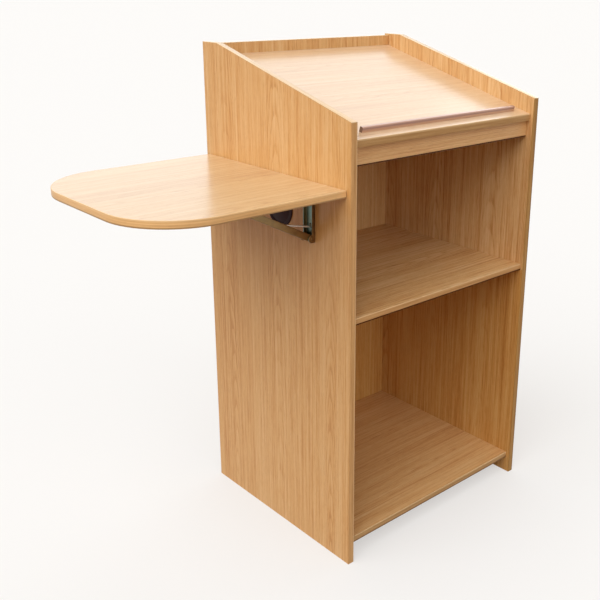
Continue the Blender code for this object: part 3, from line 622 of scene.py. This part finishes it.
def band_finish(name, tint_and_light, coat, first=0.0, last=0.0):
    """Oak-printed edging: streaks along the strip, times its tint, under some gloss. The tint holds
    painted light: paler on the bands that face up, darker on the desk's front edge.

    first and last are the strip's two long edges, from -1, a dark line of painted shade, to 1, a pale
    line of painted highlight."""
    made, tree = empty_material(name)
    spot = coordinates(tree)["UV"]
    broad = noise(tree, spot, (3.0, 160, 1))
    streak = noise(tree, spot, (9.0, 600, 1), 2.0, 0.6)
    fleck = noise(tree, spot, (60, 1900, 1))
    tone = swing(tree, streak, 0.9, swing(tree, broad, 1.3, 0.55))
    colour = steps(tree, calc(tree, "ADD", tone, 0.0, clamp=True),
                   [(0.0, (0.36, 0.165, 0.045)), (0.5, (0.56, 0.305, 0.100)), (1.0, (0.70, 0.42, 0.16))])
    pore = steps(tree, fleck, [(0.58, 0.0), (0.70, 1.0)])
    colour = blend_colours(tree, calc(tree, "MULTIPLY", pore, 0.35), colour, (0.28, 0.13, 0.04))
    colour = blend_colours(tree, 1.0, colour, tint_and_light, "MULTIPLY")
    rough = calc(tree, "MULTIPLY_ADD", pore, 0.15, 0.40)
    around = calc(tree, "DIVIDE", xyz(tree, spot)[1], STRIP_ROUND)
    # painted arris lines: a negative amount paints a dark shade line, a positive one a pale highlight line
    for amount, places in ((first, [(0.20, 1.0), (0.28, 0.0)]), (last, [(0.78, 0.0), (0.86, 1.0)])):
        if amount:
            share = calc(tree, "MULTIPLY", steps(tree, around, places), abs(amount))
            colour = blend_colours(tree, share, colour, ARRIS_HIGHLIGHT if amount > 0 else ARRIS_SHADE)
            rough = calc(tree, "MAXIMUM", rough, share)
    surface(tree, {"Base Color": colour, "Roughness": rough, "Specular IOR Level": 0.1,
                   "Coat Weight": coat, "Coat Roughness": 0.16}, streak, 0.15)
    return made


# Each tint holds painted light: the top and flap bands are paler, a painted highlight, and the desk band darker, a
# painted shade; the far band is darker too.
BANDS = {
    "side": band_finish("band_side", (1.01, 1.03, 1.23), 0.15, last=0.5),
    "far": band_finish("band_far", (0.68, 0.65, 0.535), 0.15, last=-0.6),
    "desk": band_finish("band_desk", (0.78, 0.81, 0.94), 0.1, last=0.4),
    "middle": band_finish("band_middle", (0.915, 0.91, 1.08), 0.0, first=-1.0, last=0.5),
    "bottom": band_finish("band_bottom", (0.82, 0.88, 1.12), 0.0, first=-0.6, last=0.5),
    "top": band_finish("band_top", (1.12, 1.33, 1.92), 0.8),
    "flap": band_finish("band_flap", (1.27, 1.38, 1.74), 0.2, first=-0.5, last=0.4),
}
ARRIS = 0.0007                        # round on a band's long edges
BAND_PROFILE = rounded([(0, -BOARD / 2), (BAND, -BOARD / 2), (BAND, BOARD / 2), (0, BOARD / 2)],
                       [1e-5, ARRIS, ARRIS, 1e-5])


def band(name, node, path, outward, across, roll="side"):
    """A strip along an edge: path is the board's bare edge, outward one unit out of it."""
    strip = sheet(carried(BAND_PROFILE, path, outward, across), ends=True)
    return stand_for(skin(name, [strip], BANDS[roll]), node)


# %% Bands round the side panels
def slope(y):
    """Height of a side panel's sloping top."""
    return FRONT_HEIGHT + RISE * (y - FRONT)


SQUARE = 1 / math.cos(TILT)
KNEE = BACK - TOP_FLAT
knee_out = np.array([0, -math.tan(TILT / 2), 1])
for side, middle in (("left", LEFT + BOARD / 2), ("right", RIGHT - BOARD / 2)):
    under = lambda y: slope(y) - BAND * SQUARE
    band(f"edge_{side}_front", f"{side}_front_band",
         [(middle, FRONT + BAND, 0), (middle, FRONT + BAND, under(FRONT + BAND))],
         [(0, -1, 0), (0, -1, -RISE)], (1, 0, 0), "side" if side == "left" else "far")
    band(f"edge_{side}_top", f"{side}_top_band",
         [(middle, FRONT, under(FRONT)), (middle, KNEE - BAND * knee_out[1], BACK_HEIGHT - BAND),
          (middle, BACK, BACK_HEIGHT - BAND)],
         [(0, 0, SQUARE), knee_out, (0, 0, 1)], (1, 0, 0), "top")
    band(f"edge_{side}_rear", f"{side}_rear_band",
         [(middle, BACK - BAND, 0), (middle, BACK - BAND, BACK_HEIGHT - BAND)], (0, 1, 0), (1, 0, 0))

# %% Bands of the back, the desk and the shelves
top = high("back_top_band")
band("edge_back_top", "back_top_band",
     [(x, BACK - BOARD / 2, top[2] - BAND) for x in (low("back_top_band")[0], top[0])],
     (0, 0, 1), (0, 1, 0), "top")
for shelf in ("middle_shelf", "bottom_shelf"):
    node = shelf + "_front_band"
    start, end = low(node), high(node)
    band("edge_" + shelf, node,
         [(x, start[1] + BAND, (start[2] + end[2]) / 2) for x in (start[0], end[0])],
         (0, -1, 0), (0, 0, 1), shelf.split("_")[0])
start, end = low("desk_front_band"), high("desk_front_band")
desk_edge = (start[2] + end[2]) / 2 + (BAND - (end[1] - start[1]) / 2) * RISE
band("edge_desk_front", "desk_front_band",
     [(x, start[1] + BAND, desk_edge) for x in (start[0], end[0])],
     (0, -1, -RISE), (0, 0, SQUARE), "desk")

# %% Band round the flap
FLAP_CORNER = 0.150
start, end = low("flap_edge_band"), high("flap_edge_band")
outline = rounded([(end[0] - BAND, start[1] + BAND), (end[0] - BAND, end[1] - BAND),
                   (start[0] + BAND, end[1] - BAND), (start[0] + BAND, start[1] + BAND)],
                  [1e-6, 1e-6, FLAP_CORNER - BAND, FLAP_CORNER - BAND], 16)
loop = outline[:-1][np.linalg.norm(np.diff(outline, axis=0), axis=1) > 2e-5]


def mitred(loop):
    """Outward vectors at the corners of a closed flat loop that runs counter-clockwise: with n and m
    the outward normals of the two edges that meet, the vector is (n + m) / (1 + n . m)."""
    step = np.roll(loop, -1, 0) - loop
    after = np.stack([step[:, 1], -step[:, 0]], 1) / np.linalg.norm(step, axis=1, keepdims=True)
    before = np.roll(after, 1, 0)
    return (before + after) / (1 + (before * after).sum(1, keepdims=True))


def flat(pairs, z=0.0):
    """Pairs of (x, y) lifted to one height."""
    return np.column_stack([pairs, np.full(len(pairs), z)])


ring = carried(BAND_PROFILE, flat(loop, (start[2] + end[2]) / 2), flat(mitred(loop)), (0, 0, 1))
stand_for(skin("edge_flap", [sheet(np.concatenate([ring, ring[:1]]))], BANDS["flap"]), "flap_edge_band")

# %% [markdown]
# ## Paper stop
#
# A slim hardwood lath with its two upper edges rounded over lies in a shallow groove across the
# desk, and keeps papers from sliding off. It is one profile carried along X, square to the sloping
# desk. A Bevel modifier breaks the edges of its two sawn ends, as sandpaper would.

# %% Wood of the paper stop
def stop_wood(foot):
    """A reddish hardwood, oiled: long soft streaks along X and fine pores, darker on the end grain.

    The height off the desk is (0, -sin tilt, cos tilt) . (place - foot). The colour changes with that
    height as painted light: paler near the desk, a painted reflection of the desk, darker on the upper
    front, and paler on its top, a painted highlight."""
    made, tree = empty_material("stop_wood")
    spot = coordinates(tree)
    place = spot["Object"]
    broad = noise(tree, place, (2.5, 260, 260))
    fine = noise(tree, place, (14, 1500, 1500), 3.0, 0.6)
    tone = swing(tree, fine, 0.6, swing(tree, broad, 0.7, 0.35))
    colour = steps(tree, calc(tree, "ADD", tone, 0.0, clamp=True),
                   [(0.0, (0.24, 0.105, 0.070)), (0.5, (0.42, 0.215, 0.145)), (1.0, (0.55, 0.33, 0.24))])
    off_foot = add_node(tree, "ShaderNodeVectorMath", {0: place, 1: foot}, operation="SUBTRACT")
    height = add_node(tree, "ShaderNodeVectorMath",
                      {0: off_foot.outputs[0], 1: (0, -math.sin(TILT), math.cos(TILT))},
                      operation="DOT_PRODUCT").outputs["Value"]
    # painted light along the height off the desk: painted reflection near the desk, darker upper front, painted
    # highlight on top
    light_by_height = steps(tree, calc(tree, "DIVIDE", height, STOP_HEIGHT), [
        (0.0, (1.50, 1.60, 1.35)), (0.38, (1.25, 1.25, 1.05)), (0.52, (0.74, 0.68, 0.72)),
        (0.70, (0.76, 0.70, 0.74)), (0.84, (1.20, 1.25, 1.25))])
    colour = blend_colours(tree, 1.0, colour, light_by_height, "MULTIPLY")
    across = calc(tree, "ABSOLUTE", xyz(tree, spot["Normal"])[0])
    colour = blend_colours(tree, calc(tree, "GREATER_THAN", across, 0.8), colour, (0.13, 0.065, 0.045))
    surface(tree, {"Base Color": colour, "Roughness": calc(tree, "MULTIPLY_ADD", fine, 0.2, 0.25),
                   "Coat Weight": 1.0, "Coat Roughness": 0.22, "Coat IOR": 1.7}, fine, 0.3)
    return made


# %% Carry the stop's profile
STOP_HEIGHT, STOP_SEAT, STOP_DEPTH, STOP_ROUND = 0.012, 0.0017, 0.009, 0.0025
STOP_UP = 0.0275 + STOP_DEPTH / 2     # its middle, from the desk's front arris up the slope
desk_front = low("desk_front_band")[1]
desk_top = slope(desk_front) - 0.040 * SQUARE
foot = np.array([desk_front + STOP_UP * math.cos(TILT), desk_top + STOP_UP * math.sin(TILT)])
profile = rounded([(-STOP_SEAT, -STOP_DEPTH / 2), (STOP_HEIGHT, -STOP_DEPTH / 2),
                   (STOP_HEIGHT, STOP_DEPTH / 2), (-STOP_SEAT, STOP_DEPTH / 2)],
                  [1e-6, STOP_ROUND, STOP_ROUND, 1e-6], 6)
path = [(x, *foot) for x in np.linspace(low("paper_stop")[0], high("paper_stop")[0], 9)]
lath = skin("lath_paper_stop", [sheet(carried(profile, path, (0, -math.sin(TILT), math.cos(TILT)),
                                              (0, math.cos(TILT), math.sin(TILT))), ends=True)],
            stop_wood((0, *foot)), 50)
ease = lath.modifiers.new("ease", "BEVEL")
ease.width, ease.segments, ease.limit_method, ease.angle_limit = 0.0004, 2, "ANGLE", math.radians(60)
stand_for(lath, "paper_stop")

# %% [markdown]
# ## Cable grommet
#
# A moulded plastic sleeve fills the hole in the left side, with a flange over the hole's edge. The
# sleeve is its section turned about the hole's axis. The cap isn't round all the way, because cables
# pass through its notch, so its rows are outlines instead: each is an arc and a notch with the same
# number of points, and the rows differ in radius, in how far the notch is widened, and in height.

# %% Plastic
def moulded_plastic(name, colour, grain):
    """Dark moulded plastic with a fine spark-eroded texture and slight wear in its gloss."""
    made, tree = empty_material(name)
    place = coordinates(tree)["Object"]
    pebble = noise(tree, place, (grain, grain, grain), 3.0)
    patch = noise(tree, place, (60, 60, 60))
    shade = blend_colours(tree, patch, tuple(0.8 * c for c in colour), tuple(1.25 * c for c in colour))
    surface(tree, {"Base Color": shade, "Roughness": calc(tree, "MULTIPLY_ADD", patch, 0.2, 0.36),
                   "Specular IOR Level": 0.07}, pebble, 0.35)
    return made


PLASTIC = moulded_plastic("grommet_plastic", (0.040, 0.016, 0.017), 2500)

# %% Sleeve and flange
centre = np.array([LEFT, *((low("grommet_ring") + high("grommet_ring")) / 2)[1:]])
FLANGE, SLEEVE, BORE, LIP = 0.045, 0.0397, 0.0375, 0.0363
FACE, GROOVE, CAP_FACE, CAP_BACK = 0.0028, 0.0016, 0.0023, -0.0007


def from_left(points):
    """Points whose height is measured out of the left side, about the hole's axis."""
    return centre + np.stack([-points[..., 2], points[..., 0], points[..., 1]], -1)


section = rounded(
    [(LIP, FACE), (FLANGE - 0.0010, FACE), (FLANGE, FACE - 0.0012), (FLANGE, 0.0003), (SLEEVE, 0.0003),
     (SLEEVE, -0.016), (BORE, -0.016), (BORE, CAP_BACK - 0.0025), (LIP, CAP_BACK - 0.0025),
     (LIP, CAP_BACK - 0.0003), (BORE, CAP_BACK - 0.0003), (BORE, GROOVE), (LIP, GROOVE)],
    [0.0003, 0.0006, 0.0006, 1e-4, 1e-4, 3e-4, 3e-4, 1e-4, 3e-4, 1e-4, 1e-4, 1e-4, 3e-4], 3)
sleeve = sheet(from_left(revolved(section, 96)))
stand_for(skin("sleeve_of_grommet", [sleeve], PLASTIC, 50), "grommet_ring")

# %% Cap with its notch
NOTCH_HALF, NOTCH_ROOT = 0.009, 0.0302


def cap_outline(radius, widen):
    """A circle of the radius less widen, with a notch of half width w = NOTCH_HALF + widen at its top:
    the arc runs from one mouth corner, at angle asin(w / r) from the top, round to the other, and
    the notch is two straight sides and a half circle of radius w."""
    r, w = radius - widen, NOTCH_HALF + widen
    mouth = math.asin(w / r)
    turn = np.linspace(mouth, 2 * math.pi - mouth, 97)
    bowl = np.linspace(0, math.pi, 25)
    sides = np.linspace(0, 1, 5)[1:-1]
    rim = np.stack([np.sin(turn), np.cos(turn)], 1) * r
    top = r * math.cos(mouth)
    down = np.stack([np.full(3, -w), top + (NOTCH_ROOT - top) * sides], 1)
    arc = np.stack([-w * np.cos(bowl), NOTCH_ROOT - w * np.sin(bowl)], 1)
    loop = np.concatenate([rim, down, arc, down[::-1] * (-1, 1)])
    return np.concatenate([loop, loop[:1]])


RIM, NOSE, EASE = BORE - 0.0003, LIP - 0.0003, 0.0004
rows = [(NOSE, EASE, CAP_FACE), (NOSE, EASE / 3, CAP_FACE - EASE / 3), (NOSE, 0, CAP_FACE - EASE),
        (NOSE, 0, GROOVE - 0.0003), (RIM, 0, GROOVE - 0.0003), (RIM, 0, CAP_BACK + EASE),
        (RIM, EASE, CAP_BACK)]
cap = np.stack([flat(cap_outline(radius, widen), height) for radius, widen, height in rows])
stand_for(skin("cap_of_grommet", [sheet(from_left(cap), ends=True)], PLASTIC, 35), "grommet_cap")

# %% [markdown]
# ## Folding brackets
#
# Each bracket is bent from zinc-plated strip: a short leg screwed to the side, a long slotted leg
# under the flap, and a strut between them whose upper pin slides in the slots. All three are channels:
# a web with a flange along each side. The outer skin of a channel is one grid that goes down one
# flange, over the bend, across the web and up the other flange. The Solidify modifier then gives the
# sheet its wall, Bevel breaks its cut edges, and Weld closes the slivers left at the slots' ends.
#
# A slot is part of the grid too. Two of its lines follow the slot's two sides and run together where
# the slot ends, and the quads between them are left out.

# %% Zinc-plated steel
def zinc_steel():
    """Yellow-passivated zinc: a dull metal with olive, brown and bluish clouds. The way a face turns
    gives it a painted reflection: bluish on the broad faces turned to the flap's end, and brown, the
    wood round it, on all the others."""
    made, tree = empty_material("zinc_steel")
    spot = coordinates(tree)
    place = spot["Object"]
    # painted reflection: the colour is picked by which way the face turns
    outward = calc(tree, "MULTIPLY", xyz(tree, spot["Normal"])[0], -1.0)
    reflection_tone = calc(tree, "MINIMUM", calc(tree, "MULTIPLY_ADD", outward, -3.0, 3.1), 0.85)
    cloud = noise(tree, place, (55, 55, 55), 3.0)
    spangle = noise(tree, place, (420, 420, 420))
    colour = steps(tree, swing(tree, cloud, 0.8, reflection_tone), [
        (0.10, (0.13, 0.18, 0.155)), (0.45, (0.18, 0.17, 0.11)), (0.75, (0.20, 0.13, 0.06)),
        (1.0, (0.27, 0.17, 0.07))])
    rough = calc(tree, "MULTIPLY_ADD", spangle, 0.16, calc(tree, "MULTIPLY_ADD", cloud, 0.16, 0.20))
    surface(tree, {"Base Color": colour, "Metallic": 1.0, "Roughness": rough}, spangle, 0.05)
    return made


def bright_wire():
    """Bright zinc on the drawn wire of the release rods: pale, with fine lines along X."""
    made, tree = empty_material("bright_wire")
    drawn = noise(tree, coordinates(tree)["Object"], (30, 2500, 2500))
    colour = steps(tree, drawn, [(0.3, (0.80, 0.79, 0.77)), (0.7, (0.93, 0.92, 0.90))])
    surface(tree, {"Base Color": colour, "Metallic": 1.0,
                   "Roughness": calc(tree, "MULTIPLY_ADD", drawn, 0.12, 0.34)})
    return made


ZINC, WIRE = zinc_steel(), bright_wire()

# %% The skin of a channel
def channel(along, depth, half, bend, foot=0.0, slot_middle=0.0, slot_half=0.0):
    """Points (along, across, height off the web) and the quads to keep.

    In each row the flange's lines lie between its free edge at depth and the bend, or foot where a
    rounded end rises off the web; the bend is a quarter circle, and the web is flat. The slot's lines
    are slot_middle + and - slot_half, which is 0 outside the slot."""
    along, depth, foot, slot_half = np.broadcast_arrays(along, depth, foot, slot_half)
    start = np.maximum(bend, foot)
    middle = np.clip(slot_middle or 1.0, None, (depth + start) / 2)
    upper, lower = middle + slot_half, middle - slot_half
    flange = np.stack([depth, (depth + upper) / 2, upper, lower, (lower + start) / 2, start], 1)
    turn = np.linspace(0, math.pi / 2, 6)[1:]
    curve = bend * (1 - np.sin(turn)) + foot[:, None]
    height = np.concatenate([flange, curve], 1)
    side = np.concatenate([np.full(6, -half), -half + bend * (1 - np.cos(turn))])
    height = np.concatenate([height, height[:, ::-1]], 1)
    side = np.broadcast_to(np.concatenate([side, -side[::-1]]), height.shape)
    points = np.stack([np.broadcast_to(along[:, None], height.shape), side, height], -1)
    keep = np.ones((len(along) - 1, points.shape[1] - 1), bool)
    hole = slot_half[1:] + slot_half[:-1] > 0
    keep[hole, 2] = keep[hole, -3] = False
    keep[np.minimum(foot[1:], foot[:-1]) > bend / 2, 5:-5] = False
    return points, keep


def steel_sheet(name, node, points, keep, wall):
    """A channel's skin with its wall thickness and its broken edges; slivers under 5 microns are
    closed up again."""
    piece = skin(name, [sheet(points, keep)], ZINC, 30)
    solid = piece.modifiers.new("wall", "SOLIDIFY")
    solid.thickness, solid.offset, solid.use_even_offset = wall, -1, True
    ease = piece.modifiers.new("ease", "BEVEL")
    ease.width, ease.segments, ease.limit_method, ease.angle_limit = 0.0003, 2, "ANGLE", math.radians(50)
    piece.modifiers.new("close", "WELD").merge_threshold = 5e-6
    return stand_for(piece, node)


def at_bracket(end, out, side, up):
    """A place by its distance out from the hinge line, its distance to the side of the bracket, and
    its height above the lower pin."""
    return np.stack(np.broadcast_arrays(HINGE_X - out, BRACKET_Y[end] + side, STRUT_Z + up), -1)


def spread(*stops, each=9):
    """Rows from stop to stop, closer together near every stop: (1 - cos(turn)) / 2 of the way."""
    share = (1 - np.cos(np.linspace(0, math.pi, each))) / 2
    rows = np.concatenate([first + (second - first) * share for first, second in zip(stops, stops[1:])])
    return np.unique(rows.round(7))


# %% The three channels of a bracket
PINS = HINGE_Z - STRUT_Z              # from the lower pin up to the hinge pin
SLIDE_OUT = 0.179                     # from the hinge line out to the slide pin
STRUT_LENGTH, STRUT_TURN = math.hypot(SLIDE_OUT, PINS), math.atan2(PINS, SLIDE_OUT)
LEG_TOP, LEG_END, LEG_LENGTH = 0.0132, 0.0065, STRUT_LENGTH + PINS + 0.024
LEG_TAPER = 0.014                     # the shelf leg's tapered end
SLOT = 0.0028                         # half the slot's height
WALL_WEB = 0.0102                     # from the hinge line back to the web on the side panel
ROD_PIN_OUT = 0.100                   # from the lower pin to the rod's pin, along the strut


def wall_leg(end):
    """Short channel, web to the side panel. Its flanges reach to the hinge line and have a round ear
    of radius e at each pin: depth = web + sqrt(e * e - d * d), d being the height off the pin."""
    ear, web = 0.009, WALL_WEB
    rows = spread(-ear, 0, ear, PINS - ear, PINS, PINS + ear)
    off_pin = np.minimum(np.abs(rows), np.abs(rows - PINS))
    depth = web + np.sqrt(np.maximum(ear * ear - off_pin * off_pin, 0))
    points, keep = channel(rows, depth, half=0.015, bend=0.0028)
    points = at_bracket(end, points[..., 2] - web, points[..., 1], points[..., 0])
    return steel_sheet(f"leg_{end}_on_side", end + "_wall_leg", points, keep, wall=0.002)


def shelf_leg(end):
    """Long channel, web under the flap. Its flanges are rounded about the hinge pin, have a slot for
    the slide pin, and taper off at the far end."""
    first, last = SLIDE_OUT, STRUT_LENGTH + PINS
    taper = LEG_LENGTH - LEG_TAPER
    rows = spread(-LEG_END, 0, first - SLOT, first, last, last + SLOT, taper, LEG_LENGTH, each=7)
    depth = LEG_TOP + np.sqrt(LEG_END ** 2 - np.minimum(rows, 0) ** 2)
    depth = np.minimum(depth, np.interp(rows, [taper, LEG_LENGTH], [LEG_TOP + LEG_END, 0.004]))
    beyond = np.maximum(np.maximum(first - rows, rows - last), 0)
    points, keep = channel(rows, depth, half=0.0175, bend=0.0028, slot_middle=LEG_TOP,
                           slot_half=np.sqrt(np.maximum(SLOT ** 2 - beyond ** 2, 0)))
    points = at_bracket(end, points[..., 0], points[..., 1], PINS + LEG_TOP - points[..., 2])
    return steel_sheet(f"leg_{end}_under_flap", end + "_shelf_leg", points, keep, wall=0.002)


def strut(end):
    """Channel between the pins, open above, with half-round flange ends: at the distance d past a
    pin the flange lies between r - sqrt(r * r - d * d) and r + sqrt(r * r - d * d)."""
    r = 0.0074
    rows = spread(-r, 0, STRUT_LENGTH, STRUT_LENGTH + r, each=7)
    past = np.maximum(np.maximum(-rows, rows - STRUT_LENGTH), 0)
    reach = np.sqrt(np.maximum(r * r - past * past, 0))
    points, keep = channel(rows, r + reach, half=0.0125, bend=0.0021, foot=r - reach)
    along, side, height = points[..., 0], points[..., 1], points[..., 2] - r
    points = at_bracket(end, along * math.cos(STRUT_TURN) - height * math.sin(STRUT_TURN), side,
                        along * math.sin(STRUT_TURN) + height * math.cos(STRUT_TURN))
    return steel_sheet(f"strut_{end}", end + "_strut", points, keep, wall=0.0015)


# %% Pins, screws and the release rod
RIVET = 0.0045                        # radius of a rivet's head
HEAD_LIFT = 0.0023                    # underside of a screw's head off the web's outer skin


def pin(name, node, end, out, up, half, radius=0.0025, head=0.0):
    """A turned pin along Y with slightly crowned ends; head adds a domed rivet head at each end
    instead, of the height head * sqrt(1 - (r / R) ** 2) at the radius r, with R = RIVET."""
    if head:
        dome = np.linspace(0, math.pi / 2, 7)
        cap = np.stack([RIVET * np.sin(dome), half + head * np.cos(dome)], 1)
        profile = np.concatenate([cap, [(radius, half)], [(radius, -half)], (cap * (1, -1))[::-1]])
    else:
        crown = [(0, 3e-4), (0.5 * radius, 2.6e-4), (radius - 3e-4, 1.2e-4), (radius, -2e-4)]
        crown = np.array(crown) + (0, half)
        profile = np.concatenate([crown, (crown * (1, -1))[::-1]])
    points = revolved(profile, 32)
    points = at_bracket(end, out + points[..., 0], points[..., 2], up + points[..., 1])
    return stand_for(skin(name, [sheet(points)], ZINC, 40), node)


def screw_points():
    """A pan-head screw, head up: the head is r = R * sin(t) ** 0.6, h = H * cos(t) ** 0.6, with a
    cross recess pressed into its top, and a shank with a cone under it."""
    radius, height, shank, slit, arm, recess = 0.004, 0.0022, 0.002, 0.00042, 0.0021, 0.0011
    turn = np.linspace(0, math.pi / 2, 12)
    head = np.stack([radius * np.sin(turn) ** 0.6, height * np.cos(turn) ** 0.6], 1)
    inner = np.stack([np.linspace(0, head[1, 0], 8)[:-1], np.full(7, head[0, 1])], 1)
    points = revolved(np.concatenate([inner, head[1:], [(shank, 0), (shank, -0.010), (0, -0.013)]]), 64)
    x, y = np.abs(points[..., 0]), np.abs(points[..., 1])
    near, far = np.minimum(x, y), np.maximum(x, y)
    cross = (near < slit) & (far < arm) & (points[..., 2] > 0.001)
    points[..., 2] -= np.where(cross, recess * (1 - 0.5 * far / arm), 0)
    return points


def release_rod(end):
    """Straight wire with rounded tip, from an eye on the strut's third pin towards the side."""
    length, wire, aside = 0.0965, 0.0022, -0.0084
    past_hinge = 0.0055               # how far behind the hinge line its tip rests
    at = ROD_PIN_OUT * np.array([math.cos(STRUT_TURN), math.sin(STRUT_TURN)])
    droop = math.acos((at[0] + past_hinge) / length)
    tip = np.array([-math.cos(droop), -math.sin(droop)])
    ball = np.linspace(0, math.pi / 2, 6)
    radius = np.concatenate([wire * np.sin(ball), wire * np.sin(ball)[::-1]])
    travel = np.concatenate([0.003 - wire * np.cos(ball) + wire,
                             length - wire + wire * np.cos(ball)[::-1]])
    turn = np.linspace(0, 2 * math.pi, 17)
    lift = radius[:, None] * np.sin(turn)
    out = at[0] + travel[:, None] * tip[0] - lift * tip[1]
    up = at[1] + travel[:, None] * tip[1] + lift * tip[0]
    rod = at_bracket(end, out, aside + radius[:, None] * np.cos(turn), up)
    hole, rim = 0.0021, 0.0042
    ring = revolved(rounded([(hole, -wire), (rim, -wire), (rim, wire), (hole, wire)], 6e-4, 3), 32)
    eye = at_bracket(end, at[0] + ring[..., 0], aside + ring[..., 2], at[1] + ring[..., 1])
    return stand_for(skin(f"rod_{end}", [sheet(rod), sheet(eye)], WIRE, 40), end + "_release_rod")


# %% Build both brackets
for end in ("front", "rear"):
    wall_leg(end)
    shelf_leg(end)
    strut(end)
    release_rod(end)
    cosine, sine = math.cos(STRUT_TURN), math.sin(STRUT_TURN)
    pin(f"pin_{end}_hinge", f"{end}_hinge_pin", end, 0, PINS, half=0.0178, head=0.0015)
    pin(f"pin_{end}_lower", f"{end}_strut_pin", end, 0, 0, half=0.015)
    pin(f"pin_{end}_sliding", f"{end}_slide_pin", end, STRUT_LENGTH * cosine, STRUT_LENGTH * sine,
        half=0.0152)
    pin(f"pin_{end}_rod", f"{end}_rod_pin", end, ROD_PIN_OUT * cosine, ROD_PIN_OUT * sine,
        half=0.0125, radius=0.0018)
    shape = screw_points()
    for number, up in enumerate((0.027, 0.072), 1):
        points = at_bracket(end, shape[..., 2] - (WALL_WEB - HEAD_LIFT), shape[..., 0],
                            up + shape[..., 1])
        stand_for(skin(f"screw_{end}_side_{number}", [sheet(points)], ZINC, 35),
                  f"{end}_wall_leg_screw_{number}")
    last = LEG_LENGTH - LEG_TAPER
    for number, out in enumerate((0.030, (0.030 + last) / 2, last), 1):
        points = at_bracket(end, out + shape[..., 0], shape[..., 1],
                            PINS + LEG_TOP - HEAD_LIFT - shape[..., 2])
        stand_for(skin(f"screw_{end}_flap_{number}", [sheet(points)], ZINC, 35),
                  f"{end}_shelf_leg_screw_{number}")
